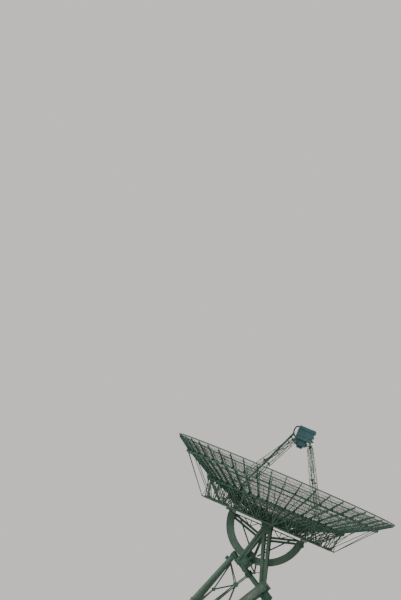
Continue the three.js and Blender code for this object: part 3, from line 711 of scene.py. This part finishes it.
box = finish_piece(receiver_box, "reflector", FEED, bevel=0.012)
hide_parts("feed_box")
lid = finish_piece(receiver_lid, "reflector", FEED, bevel=0.02)
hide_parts("feed_lid")

# %% [markdown]
# Fittings make the box look made rather than carved: lifting eyes on the lid, equipment boxes on
# its sides, and brackets on the end that faces the equator.

# %% Fittings on the box
def receiver_fittings(bm):
    for x in (LID_MIDDLE_X - 0.8, LID_MIDDLE_X + 0.8):
        for y in (-0.68, 0.68):
            rod(bm, dish(x, y, BOX_TOP_Z + 0.34), dish(x, y, BOX_TOP_Z + 0.40), 0.035, 10)
    for z, reach in ((10.02, 1.10), (10.42, 1.00)):
        for y in (-0.45, 0.45):
            bar(bm, dish(0.89, y, z), dish(reach, y, z), 0.16, 0.14)
    for x in (-0.55, 0.05, 0.6):
        for way in BOTH_WAYS:
            bar(bm, dish(x, way * 0.77, 10.2), dish(x, way * 0.84, 10.2), 0.16, 0.22, DISH_X)
    bar(bm, dish(0.43, -0.22, 9.45), dish(0.62, -0.22, 9.45), 0.30, 0.34)
    bar(bm, dish(0.43, 0.2, 9.36), dish(0.55, 0.2, 9.36), 0.22, 0.26)


finish_piece(receiver_fittings, "reflector", FEED, bevel=0.008)

# %% [markdown]
# The cable pipe rises beside the box and bends over into its top. A curve with a round bevel is
# the quick way to sweep a pipe; it is made a mesh so that it is one closed tube.

# %% Cable pipe
PIPE_R, PIPE_SIDES = 0.085, 12
PIPE_PATH = [dish(x, y, z) for x, y, z in (
    (-0.80, 0.30, 9.90), (-1.05, 0.30, 9.93), (-1.24, 0.28, 10.10), (-1.32, 0.26, 10.43),
    (-1.30, 0.24, 10.75), (-1.18, 0.22, 10.97), (-1.00, 0.20, 11.02), (-0.84, 0.20, 11.02))]


def cable_pipe(bm):
    curve = bpy.data.curves.new("pipe_line", "CURVE")
    curve.dimensions = "3D"
    curve.bevel_depth = PIPE_R
    curve.bevel_resolution = PIPE_SIDES // 4
    curve.use_fill_caps = True
    curve.resolution_u = 6
    line = curve.splines.new("BEZIER")
    line.bezier_points.add(len(PIPE_PATH) - 1)
    for knot, point in zip(line.bezier_points, PIPE_PATH):
        knot.co = point
        knot.handle_left_type = knot.handle_right_type = "AUTO"
    holder = bpy.data.objects.new("pipe_line", curve)
    bpy.context.scene.collection.objects.link(holder)
    bpy.context.view_layer.update()
    bm.from_mesh(holder.evaluated_get(bpy.context.evaluated_depsgraph_get()).to_mesh())
    bmesh.ops.remove_doubles(bm, verts=bm.verts, dist=1e-5)
    bpy.data.objects.remove(holder)


finish_piece(cable_pipe, "reflector", DARK)

# %% [markdown]
# The cables come up from the hub in a round duct that is clamped to the outside of the far north
# leg. Seen from afar it is the darkest line over the bowl.

# %% Cable duct
DUCT_R, DUCT_FOOT_R, DUCT_COLLAR_R = 0.115, 7.95, 0.15
DUCT_TOP = dish(-1.22, 0.30, 10.18)
DUCT_CLAMPS = [0.1 + 0.1 * k for k in range(9)]


def cable_duct(bm):
    turn = math.radians(LEG_TURNS["north_far"])
    foot = around(DUCT_FOOT_R, turn, bowl(DUCT_FOOT_R) + 0.12)
    rod(bm, foot, DUCT_TOP, DUCT_R, 16)
    rod(bm, around(DUCT_FOOT_R, turn, bowl(DUCT_FOOT_R) + 0.004),
        foot + (foot - DUCT_TOP).normalized() * 0.03, DUCT_COLLAR_R, 16)
    low, high, corners = leg_lines(LEG_TURNS["north_far"])
    for share in DUCT_CLAMPS:
        bar(bm, foot.lerp(DUCT_TOP, share), low.lerp(high, share) + corners[2] * 0.5, 0.05, 0.05)


finish_piece(cable_duct, "reflector", DARK)

# %% [markdown]
# ## The two drive arcs
# Each arc is a welded box girder. Flange strips edge it, stiffeners cross its sides at even
# steps, and a rack with teeth runs along its outside for the pinion.

# %% Arc details
ARC_OUT, ARC_IN, ARC_HALF_WIDE = 4.36, 3.58, 0.40
OUTER_STRIP_R, INNER_STRIP_R = ARC_OUT - 0.035, ARC_IN + 0.045
FLANGE, STRIP = 0.05, 0.09
ARC_STEPS = 56
TOOTH_R, TOOTH_HALF, TEETH_PITCH = ARC_OUT - 0.03, 0.17, 0.065
HUB_T = 4.975
ARC_TRIM = 0.075
DECLINATION_ENDS = (math.pi + ARC_TRIM, 2 * math.pi - ARC_TRIM)
HOUR_HALF_SPAN = math.pi * 0.555 - 0.01
HOUR_ENDS = (1.5 * math.pi - HOUR_HALF_SPAN, 1.5 * math.pi + HOUR_HALF_SPAN)


def declination_spot(radius, angle, y):
    return dish(radius * math.cos(angle), y, radius * math.sin(angle))


def hour_spot(radius, angle, t):
    return polar(HUB_T + t, radius * math.sin(angle), radius * math.cos(angle))


def arc_details(bm, spot, side, start, end):
    """spot(radius, angle, y) is a point of the arc; side is the direction of its width."""
    steps = [start + (end - start) * k / ARC_STEPS for k in range(ARC_STEPS + 1)]
    for way in BOTH_WAYS:
        y = way * ARC_HALF_WIDE
        for radius in (OUTER_STRIP_R, INNER_STRIP_R):
            for a, b in zip(steps, steps[1:]):
                bar(bm, spot(radius, a, y), spot(radius, b, y), FLANGE, STRIP, side)
        for angle in steps[2:ARC_STEPS:4]:
            bar(bm, spot(ARC_IN + 0.05, angle, y), spot(ARC_OUT - 0.04, angle, y),
                0.036, 0.03, side)


def arc_rack(bm, spot, start, end):
    count = int((end - start) * ARC_OUT / TEETH_PITCH)
    for k in range(count):
        angle = start + (k + 0.5) * (end - start) / count
        bar(bm, spot(TOOTH_R, angle, -TOOTH_HALF), spot(TOOTH_R, angle, TOOTH_HALF), 0.074, 0.030,
            spot(1, angle, 0) - spot(0, angle, 0))


for name, body, spot, side, ends in (
        ("declination", "reflector", declination_spot, Y_AXIS, DECLINATION_ENDS),
        ("hour", "fork", hour_spot, POLE_DOWN, HOUR_ENDS)):
    finish_piece(arc_details, body, MAIN, spot, side, *ends, name=f"{name}_flanges")
    finish_piece(arc_rack, body, BARE, spot, *ends, name=f"{name}_rack")

# %% [markdown]
# Stop blocks and thick end plates keep the pinions from running off the racks. The blocks are
# outside the declination arc at its south end, and inside at its north end, where the fixed
# head passes close by.

# %% Arc stops
NORTH_STOP, SOUTH_STOP = math.pi + math.radians(8), 2 * math.pi - math.radians(8)
STOP_BLOCKS = (  # angle, y, inner and outer radius, width, length along the arc
    (SOUTH_STOP, 0.47, ARC_OUT - 0.22, ARC_OUT + 0.12, 0.14, 0.26),
    (SOUTH_STOP, 0.47, ARC_OUT - 0.12, ARC_OUT + 0.04, 0.09, 0.38),
    (NORTH_STOP, 0.30, ARC_IN - 0.16, ARC_IN + 0.01, 0.14, 0.26))
END_PLATES, END_PLATE_STEP = 3, 0.055


def declination_stops(bm):
    for angle, y, inner, outer, wide, long in STOP_BLOCKS:
        for way in BOTH_WAYS:
            inside, outside = [declination_spot(r, angle, way * y) for r in (inner, outer)]
            bar(bm, inside, outside, wide, long)


def hour_end_plates(bm):
    for end, way in zip(HOUR_ENDS, (1, -1)):
        for k in range(END_PLATES):
            angle = end + way * END_PLATE_STEP * k
            bar(bm, hour_spot(ARC_IN - 0.03, angle, 0), hour_spot(ARC_OUT + 0.03, angle, 0),
                0.86, 0.03, POLE_DOWN)


finish_piece(declination_stops, "reflector", DARK)
finish_piece(hour_end_plates, "fork", DARK)

# %% [markdown]
# Two long braces tie each end of the declination arc to the keel under the hub. Cover plates on
# both sides make them deeper, as built-up members are.

# %% Brace covers
BRACE_LINES = ((-0.25, -1.33), (-0.60, -1.68))
BRACE_SIDE = 0.105
COVER_FROM, COVER_TO = 0.05, 0.88


def brace_covers(bm):
    for way in BOTH_WAYS:
        for end_z, keel_z in BRACE_LINES:
            outer, keel = dish(way * (ARC_IN + 0.04), 0, end_z), dish(0, 0, keel_z)
            for side in SIDEWAYS:
                shift = side * BRACE_SIDE
                bar(bm, outer.lerp(keel, COVER_FROM) + shift, outer.lerp(keel, COVER_TO) + shift,
                    0.016, 0.25)


finish_piece(brace_covers, "reflector", DARK)

# %% [markdown]
# ## Bearings of the declination axle
# The axle turns in a housing on the head of each side frame. A housing is a turned ring with a
# bolted cover, and the journal shows in its middle.

# %% Bearings
HEAD_Y, HEAD_HALF = 1.5, 0.14
AXLE_END_Y = 2.05
AXLE_COLLARS = (0.85, 1.9)
HOUSING_PROFILE = [(-0.01, 0.236), (-0.01, 0.44), (0.05, 0.44), (0.075, 0.41), (0.075, 0.33),
                   (0.105, 0.31), (0.105, 0.236)]
AXLE_CAP_PROFILE = [(-0.002, 0.0), (-0.002, 0.20), (0.03, 0.20), (0.045, 0.17), (0.045, 0.06),
                    (0.06, 0.05), (0.06, 0.0)]


def bearing_housings(bm):
    for way in SIDEWAYS:
        for out in SIDEWAYS:
            face = DECLINATION_POINT + way * HEAD_Y + out * HEAD_HALF
            turned(bm, face, out, HOUSING_PROFILE)
            bolt_circle(bm, face + out * 0.07, out, 0.37, 12, 0.026, 0.028)


def axle_ends(bm):
    for way in SIDEWAYS:
        end = DECLINATION_POINT + way * AXLE_END_Y
        turned(bm, end, way, AXLE_CAP_PROFILE)
        bolt_circle(bm, end + way * 0.042, way, 0.125, 8, 0.018, 0.02)
        for y in AXLE_COLLARS:
            for out in SIDEWAYS:
                face = DECLINATION_POINT + way * y + out * 0.09
                bolt_circle(bm, face, out, 0.27, 10, 0.018, 0.022)


finish_piece(bearing_housings, "fork", DARK)
finish_piece(axle_ends, "reflector", DARK)

# %% [markdown]
# ## Side frames of the fork
# Each arm of a side frame is two chords from the frame, with battens between them, so the arm
# reads as a ladder with slots. A web closes the lower half of the south arm, and flange strips
# run along the chords' faces.

# %% Fork battens and links
FOOT_Y = 0.47
SLEEVE_T, LOWER_HUB_T, COLLAR_T = 1.10, 4.975, 2.9
# x and z of the head from the declination point, then t and s of the foot on the beam
CHORDS = {
    "north_outer": (-0.33, -0.20, SLEEVE_T - 0.09, 0.06),
    "north_inner": (-0.06, -0.42, SLEEVE_T + 0.24, 0.10),
    "south_inner": (-0.30, -0.42, LOWER_HUB_T - 0.30, 0.20),
    "south_outer": (0.33, -0.25, LOWER_HUB_T + 0.15, 0.33),
}
# the two chords, how many battens, and the first and last one's share of the length
ARMS = (("north_outer", "north_inner", 6, 0.22, 0.80),
        ("south_outer", "south_inner", 5, 0.16, 0.55))
WEB_FROM, WEB_STEP, WEB_PLATES = 0.55, 0.045, 8
WEB_PLATE = WEB_STEP - 0.002
LINK = (0.07, 0.09)


def on_chord(name, way, share):
    """A point between the head of a chord (0) and its foot (1)."""
    x, z, t, s = CHORDS[name]
    head = DECLINATION_POINT + Vector((x, way * HEAD_Y, z))
    return head.lerp(polar(t, s, way * FOOT_Y), share)


def fork_battens(bm, way):
    for outer, inner, count, first, last in ARMS:
        for k in range(count):
            share = first + (last - first) * k / (count - 1)
            bar(bm, on_chord(outer, way, share), on_chord(inner, way, share), 0.20, 0.07)
    for k in range(WEB_PLATES):
        share = WEB_FROM + WEB_STEP * k
        a, b, c, d = [on_chord(name, way, at) for at in (share, share + WEB_PLATE)
                      for name in ("south_outer", "south_inner")]
        bar(bm, (a + b) / 2, (c + d) / 2, 0.09, (a - b).length - 0.02)
    for name in CHORDS:
        for side in SIDEWAYS:
            shift = side * 0.122
            start, end = on_chord(name, way, 0.16) + shift, on_chord(name, way, 0.92) + shift
            bar(bm, start, end, 0.012, 0.20)


def fork_links(bm):
    """Light braces under the cross member of each side frame, tied to its south arm."""
    for way in BOTH_WAYS:
        cross_foot, cross_end = on_chord("north_inner", way, 1), on_chord("south_inner", way, 0.62)
        meeting = polar(3.15, 0.55, way * FOOT_Y)
        for start in (cross_foot.lerp(cross_end, 0.42), cross_foot.lerp(cross_end, 0.72)):
            bar(bm, start, meeting, *LINK)
        bar(bm, meeting, on_chord("south_inner", way, 0.76), *LINK)
        bar(bm, meeting - Y_AXIS * 0.05, meeting + Y_AXIS * 0.05, 0.26, 0.26, POLE_DOWN)


SIDES = {"near": -1, "far": 1}
for name, way in SIDES.items():
    finish_piece(fork_battens, "fork", MAIN, way, name=f"fork_battens_{name}")
finish_piece(fork_links, "fork", MAIN)

# %% [markdown]
# ## Sleeve, hub and fixed heads on the polar beam
# These are castings round the beam: end flanges with a ring of bolts, and ribs on the collar.
# The flanges stand proud of the frame's plain cylinders.

# %% Flanges round the polar beam
UPPER_HEAD_T, LOWER_HEAD_T = 0.38, 5.95
# t along the beam, the way it faces, body radius, flange radius
FORK_FLANGES = ((LOWER_HUB_T - 0.43, -1, 0.60, 0.63), (LOWER_HUB_T + 0.43, 1, 0.60, 0.63),
                (SLEEVE_T - 0.33, -1, 0.37, 0.38), (SLEEVE_T + 0.33, 1, 0.39, 0.42))
HEAD_FLANGES = ((LOWER_HEAD_T - 0.40, -1, 0.52, 0.545), (LOWER_HEAD_T + 0.40, 1, 0.52, 0.545),
                (COLLAR_T - 0.22, -1, 0.44, 0.42), (COLLAR_T + 0.22, 1, 0.44, 0.42))
COLLAR_RIBS, COLLAR_RIB_R, COLLAR_RIB_HALF = 12, 0.375, 0.15


def beam_flanges(bm, flanges):
    for t, way, radius, flange in flanges:
        out = POLE_DOWN * way
        turned(bm, polar(t, 0, 0), out,
               [(-0.09, radius - 0.02), (-0.09, flange - 0.02), (-0.07, flange), (0.0, flange),
                (0.012, flange - 0.012), (0.012, radius - 0.16), (0.0, radius - 0.17)])
        bolt_circle(bm, polar(t, 0, 0) + out * 0.01, out, radius - 0.05, 20, 0.022, 0.026)


def fixed_head_flanges(bm):
    beam_flanges(bm, HEAD_FLANGES)
    for k in range(COLLAR_RIBS):
        turn = (k + 0.5) * 2 * math.pi / COLLAR_RIBS
        out = POLE_OUT * math.cos(turn) + Y_AXIS * math.sin(turn)
        spot, half = polar(COLLAR_T, 0, 0) + out * COLLAR_RIB_R, POLE_DOWN * COLLAR_RIB_HALF
        bar(bm, spot - half, spot + half, 0.03, 0.06, POLE_DOWN.cross(out))


def upper_head_cap(bm):
    top = polar(UPPER_HEAD_T - 0.36, 0, 0)
    turned(bm, top, -POLE_DOWN,
           [(-0.02, 0.0), (-0.02, 0.255), (0.010, 0.255), (0.018, 0.245), (0.018, 0.0)])
    bolt_circle(bm, top - POLE_DOWN * 0.014, -POLE_DOWN, 0.228, 12, 0.013, 0.016)


finish_piece(beam_flanges, "fork", DARK, FORK_FLANGES, name="fork_hub_flanges")
finish_piece(fixed_head_flanges, "base", DARK)
finish_piece(upper_head_cap, "base", DARK)

# %% [markdown]
# A small warning lamp sits on the end of the beam: a round base and a dome of red glass, half a
# sphere cut by a plane and closed again. It is low, so that neither the arc nor the truss
# reaches it.

# %% Warning lamp
LAMP_R = 0.066
LAMP_FOOT = polar(-0.012, 0.14, 0)


GLASS, _, glass_shader, _ = clouded_material(
    "lamp_glass", 14, 3, (0.30, 0.02, 0.015), (0.42, 0.035, 0.02), 0.12)
glass_shader.inputs["Coat Weight"].default_value = 0.6


def lamp_dome(bm):
    place = basis(Y_AXIS, POLE_OUT, Y_AXIS.cross(POLE_OUT), LAMP_FOOT)
    bmesh.ops.create_uvsphere(bm, u_segments=20, v_segments=12, radius=LAMP_R, matrix=place)
    cut = bmesh.ops.bisect_plane(bm, geom=bm.verts[:] + bm.edges[:] + bm.faces[:],
                                 plane_co=LAMP_FOOT, plane_no=POLE_DOWN, clear_outer=True)
    rim = [item for item in cut["geom_cut"] if isinstance(item, bmesh.types.BMEdge)]
    bmesh.ops.holes_fill(bm, edges=rim)


def lamp_bracket(bm):
    rod(bm, LAMP_FOOT + POLE_DOWN * 0.016, LAMP_FOOT - POLE_DOWN * 0.001, LAMP_R + 0.014, 24)
    bolt_circle(bm, LAMP_FOOT + POLE_DOWN * 0.004, -POLE_DOWN, LAMP_R + 0.007, 6, 0.005, 0.006)


finish_piece(lamp_dome, "base", ("steelwork_dark", GLASS))
finish_piece(lamp_bracket, "base", DARK)

# %% [markdown]
# ## The two drives
# Each drive is a gearbox with a toothed pinion and a finned motor. To keep the declination
# pinion on its rack, the arc runs between it and rollers on the arc's inner face. A side plate
# on each drive seat reaches past the arc and carries them, clear of the braces in its middle.

# %% Drive carriage
PINION_R = 0.15
PINION_REACH = ARC_OUT + PINION_R + 0.015
PINION_TURN = math.radians(30)
TO_AXIS = Vector((math.sin(PINION_TURN), 0, math.cos(PINION_TURN)))
ALONG_ARC = TO_AXIS.cross(Y_AXIS)
DRIVE_POINT = DECLINATION_POINT - TO_AXIS * PINION_REACH
PLATE_Y = 0.545
ROLLER_R, ROLLER_U = 0.12, 0.27
# What sits on each roller's shaft: from y, to y, radius, sides
ROLLER_STACK = ((0.20, 0.38, ROLLER_R, 28), (0.37, 0.66, 0.05, 16), (0.585, 0.66, 0.11, 20))


def carriage(u, v, y):
    """u along the arc and v towards the declination axis, from the pinion."""
    return DRIVE_POINT + ALONG_ARC * u + TO_AXIS * v + Y_AXIS * y


def drive_carriage(bm):
    inner = PINION_REACH - ARC_IN
    for way in BOTH_WAYS:
        y = way * PLATE_Y
        bar(bm, carriage(0, 0.22, y), carriage(0, inner + 0.34, y), 0.09, 0.92)
        for u in (-0.43, 0, 0.43):
            rib_y = y + way * 0.09
            bar(bm, carriage(u, 0.10, rib_y), carriage(u, inner + 0.32, rib_y), 0.10, 0.06)
        for v in (0.55, inner + 0.10, inner + 0.31):
            rib_y = y + way * 0.08
            bar(bm, carriage(-0.44, v, rib_y), carriage(0.44, v, rib_y), 0.08, 0.05)
        for u in (-ROLLER_U, ROLLER_U):
            v = inner + ROLLER_R + 0.006
            for start, end, radius, sides in ROLLER_STACK:
                rod(bm, carriage(u, v, way * start), carriage(u, v, way * end), radius, sides)
            bolt_circle(bm, carriage(u, v, way * 0.66), Y_AXIS * way, 0.08, 6, 0.014, 0.016)


finish_piece(drive_carriage, "fork", DARK)

# %% [markdown]
# Turned drums with ribs cover both ends of the pinion, in a frame of flat bars. The motor is a
# drum with cooling fins and an end bell.

# %% Gear covers, motors and pinions
GEAR_FACE_Y = 1.2
COVER_PROFILE = [(-0.01, 0.0), (-0.01, 0.33), (0.11, 0.33), (0.13, 0.30), (0.13, 0.16),
                 (0.19, 0.14), (0.19, 0.0)]
COVER_RIBS = 8
COVER_EDGES = ((POLE_DOWN, 0.49, POLE_OUT, 0.39), (POLE_OUT, 0.40, POLE_DOWN, 0.48))
MOTOR_FINS = 16
TEETH, TOOTH = 14, 0.030
HOUR_DRIVE_S, HOUR_DRIVE_T = -5.11, 4.98


def gearbox_covers(bm):
    for out in SIDEWAYS:
        face = DRIVE_POINT + out * GEAR_FACE_Y
        turned(bm, face, out, COVER_PROFILE)
        bolt_circle(bm, face + out * 0.125, out, 0.245, 12, 0.018, 0.02)
        for k in range(COVER_RIBS):
            spoke = Matrix.Rotation(k * 2 * math.pi / COVER_RIBS, 3, Y_AXIS) @ POLE_OUT
            foot = face + out * 0.02
            bar(bm, foot + spoke * 0.30, foot + spoke * 0.44, 0.03, 0.06, spoke.cross(Y_AXIS))
        for towards, reach, along, half in COVER_EDGES:
            for side in BOTH_WAYS:
                spot = face + towards * side * reach
                bar(bm, spot - along * half, spot + along * half, 0.09, 0.03)


def finned_motor(bm, start, end, radius):
    along = (end - start).normalized()
    across = along.orthogonal().normalized()
    rod(bm, start, end, radius, 24)
    for k in range(MOTOR_FINS):
        out = Matrix.Rotation(k * 2 * math.pi / MOTOR_FINS, 3, along) @ across
        shift = out * (radius + 0.008)
        bar(bm, start + along * 0.06 + shift, end - along * 0.08 + shift, 0.010, 0.034,
            along.cross(out))
    rod(bm, end - along * 0.06, end + along * 0.03, radius + 0.022, 24, radius - 0.02)
    rod(bm, start - along * 0.005, start + along * 0.05, radius + 0.03, 24)


def declination_drive_details(bm):
    for out in SIDEWAYS:
        centre = DRIVE_POINT + out * (GEAR_FACE_Y + 0.008)
        for u in (-0.30, 0.16):
            plate(bm, centre + POLE_DOWN * u, Y_AXIS, POLE_DOWN, 0.62, 0.36, 0.02)
        bolt_circle(bm, centre, out, 0.34, 14, 0.018, 0.022)
    foot = DRIVE_POINT - Y_AXIS * 1.05
    finned_motor(bm, foot + POLE_OUT * 0.42, foot + POLE_OUT * 0.86, 0.15)


def hour_drive_details(bm):
    for out in SIDEWAYS:
        face = polar(HOUR_DRIVE_T, HOUR_DRIVE_S, 0) + out * 0.308
        plate(bm, face, Y_AXIS, POLE_DOWN, 0.62, 0.74, 0.02)
        bolt_circle(bm, face, out, 0.27, 12, 0.016, 0.03)
    finned_motor(bm, polar(4.9, -5.56, 0), polar(4.9, -6.02, 0), 0.20)


def pinion_teeth(bm, centre, axis, half):
    for k in range(TEETH):
        out = Matrix.Rotation(k * 2 * math.pi / TEETH, 3, axis) @ POLE_OUT
        spot = centre + out * (PINION_R - 0.008)
        bar(bm, spot - axis * half, spot + axis * half, TOOTH, TOOTH, axis.cross(out))


finish_piece(gearbox_covers, "fork", DARK)
finish_piece(declination_drive_details, "fork", DARK)
finish_piece(pinion_teeth, "fork", BARE, DRIVE_POINT, Y_AXIS, 0.30, name="declination_pinion_teeth")
finish_piece(hour_drive_details, "base", DARK)
finish_piece(pinion_teeth, "base", BARE, polar(HUB_T, -PINION_REACH, 0), POLE_DOWN, 0.36,
             name="hour_pinion_teeth")

# %% [markdown]
# ## Feet
# Each leg ends in a base plate on its plinth, with anchor bolts. The plates are found from the
# frame's own plinths, so they sit where the legs do.

# %% Base plates and anchors
FOOT_SIZES = {"plinth_north_near": 1.15, "plinth_north_far": 1.15, "plinth_south": 1.0}
NUT_R, ANCHOR_R, ANCHOR_INSET = 0.045, 0.022, 0.09


def top_of(name):
    low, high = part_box(name)
    return Vector(((low[0] + high[0]) / 2, (low[1] + high[1]) / 2, high[2]))


def foot_plates(bm):
    for name, size in FOOT_SIZES.items():
        centre, reach = top_of(name), size / 2 - ANCHOR_INSET
        bar(bm, centre + Z_AXIS * 0.001, centre + Z_AXIS * 0.034, size, size)
        for x in (-1, 0, 1):
            for y in (-1, 0, 1):
                if x or y:
                    spot = centre + Vector((x * reach, y * reach, 0.03))
                    rod(bm, spot, spot + Z_AXIS * 0.045, NUT_R, 6)
                    rod(bm, spot + Z_AXIS * 0.04, spot + Z_AXIS * 0.12, ANCHOR_R, 10)


finish_piece(foot_plates, "base", DARK)

# %% [markdown]
# Small gear makes the mount look used: a switch box on the top of the near leg, another under
# the beam, and two pipes for cables that run along the beam in clamps.

# %% Switch boxes and the beam's conduits
PIPE_SPAN, PIPE_S, CLAMPS = (1.52, 2.64), -0.275, 4


def leg_top(way):
    return polar(UPPER_HEAD_T + 0.05, -0.43, way * 0.02)


def box_on(bm, centre, out, along, reach, long, wide):
    """A box that stands out from a surface, with a lid a little wider than itself."""
    side, face = along.cross(out), centre + out * reach
    bar(bm, centre, face, wide, long, side)
    bar(bm, face, face + out * 0.02, wide + 0.03, long + 0.03, side)


def mount_gear(bm):
    top, foot = leg_top(SIDES["near"]), top_of("plinth_north_near")
    along = (foot - top).normalized()
    out = Vector((-1, 0, 1))
    out = (out - along * out.dot(along)).normalized()
    box_on(bm, top.lerp(foot, 0.017) + out * 0.28, out, along, 0.24, 0.34, 0.30)
    box_on(bm, polar(2.25, -0.22, -0.06), -POLE_OUT, POLE_DOWN, 0.12, 0.30, 0.20)
    for y in (-0.10, 0.10):
        rod(bm, polar(PIPE_SPAN[0], PIPE_S, y), polar(PIPE_SPAN[1], PIPE_S, y), 0.03, 12)
        for k in range(CLAMPS):
            t = PIPE_SPAN[0] + 0.1 + 0.3 * k
            bar(bm, polar(t, -0.31, y), polar(t, -0.21, y), 0.11, 0.04)


finish_piece(mount_gear, "base", DARK)

# %% [markdown]
# The long tube legs are bolted up from shorter lengths. Each joint is two turned flanges, back
# to back, with a circle of bolts.

# %% Leg joints
JOINT_PROFILE = ((0.002, -0.01), (0.002, 0.07), (0.034, 0.07), (0.034, -0.01))


def leg_joints(bm, top, foot, radius, shares):
    along = (foot - top).normalized()
    for share in shares:
        centre = top.lerp(foot, share)
        for way in BOTH_WAYS:
            out = along * way
            turned(bm, centre, out, [(x, radius + r) for x, r in JOINT_PROFILE], 32)
            bolt_circle(bm, centre + out * 0.034, out, radius + 0.038, 16, 0.016, 0.018)


for name, way in SIDES.items():
    finish_piece(leg_joints, "base", MAIN, leg_top(way), top_of(f"plinth_north_{name}"), 0.30,
                 (0.34, 0.66), name=f"north_leg_joints_{name}")
finish_piece(leg_joints, "base", MAIN, polar(6.47, 0, 0), top_of("plinth_south"), 0.215,
             (0.03, 0.5), name="south_leg_joints")

# %% [markdown]
# The struts between the legs meet in a node under the beam and in another between the legs. A
# pair of gusset plates holds each bundle of struts together, with a ring of bolts on each plate.

# %% Gussets of the star frame
# where, half the distance between the plates, plate radius, bolts
STAR_NODES = ((polar(2.94, -1.81, 0), 0.24, 0.30, 8),
              (DECLINATION_POINT + Vector((-5.77, 0, -6.75)), 0.175, 0.20, 6))


def star_gussets(bm):
    for centre, reach, radius, bolts in STAR_NODES:
        for out in SIDEWAYS:
            face = centre + out * (reach + 0.03)
            rod(bm, centre + out * reach, face, radius, 8)
            bolt_circle(bm, face, out, radius * 0.8, bolts, 0.022, 0.026)


finish_piece(star_gussets, "base", MAIN)

# %% [markdown]
# ## Floor and light
# A pale floor and a pale sky stand in for a studio. One broad soft lamp from the upper left
# shapes the tubes, and the sky fills the rest.

# %% Stage
FLOOR_R = 900
SKY_COLOUR, SKY_STRENGTH = (0.90, 0.86, 0.82, 1), 0.85
SUN_COLOUR, SUN_STRENGTH = (1.0, 0.95, 0.88), 2.2
SUN_SPREAD, SUN_TILT, SUN_TURN = math.radians(25), math.radians(48), math.radians(-38)

floor_mesh = bpy.data.meshes.new("floor")
floor_bm = bmesh.new()
bmesh.ops.create_circle(floor_bm, cap_ends=True, segments=96, radius=FLOOR_R)
floor_bm.to_mesh(floor_mesh)
floor_bm.free()
floor = bpy.data.objects.new("floor", floor_mesh)
bpy.context.scene.collection.objects.link(floor)
floor_mesh.materials.append(
    clouded_material("pale_floor", 0.08, 3, (0.70, 0.69, 0.67), (0.74, 0.73, 0.71), 0.9)[0])

world = bpy.data.worlds.new("pale_sky")
bpy.context.scene.world = world
world.use_nodes = True
sky = world.node_tree.nodes["Background"]
sky.inputs["Color"].default_value = SKY_COLOUR
sky.inputs["Strength"].default_value = SKY_STRENGTH
lamp = bpy.data.lights.new("soft_sun", "SUN")
lamp.energy = SUN_STRENGTH
lamp.angle = SUN_SPREAD
lamp.color = SUN_COLOUR
lamp_holder = bpy.data.objects.new("soft_sun", lamp)
lamp_holder.rotation_euler = (SUN_TILT, 0, SUN_TURN)
bpy.context.scene.collection.objects.link(lamp_holder)

# %% [markdown]
# The camera stands where the photographer did: far off, near the ground, looking up. Its place
# and turns are those that put the frame's points on the same points of the photograph.

# %% Camera
CAMERA_FROM_AXIS = Vector((13.3, -205.6, -6.13))
YAW = math.radians(5.684)
PITCH = math.radians(8.396)
FOCAL_PIXELS, FRAME_HIGH = 1920, 600
camera = bpy.data.cameras.new("camera")
camera.sensor_width = 36
camera.lens = camera.sensor_width * FOCAL_PIXELS / FRAME_HIGH
camera.clip_end = 2000
holder = bpy.data.objects.new("camera", camera)
holder.location = DECLINATION_POINT + CAMERA_FROM_AXIS
holder.rotation_euler = (math.pi / 2 + PITCH, 0, YAW)
bpy.context.scene.collection.objects.link(holder)
bpy.context.scene.camera = holder
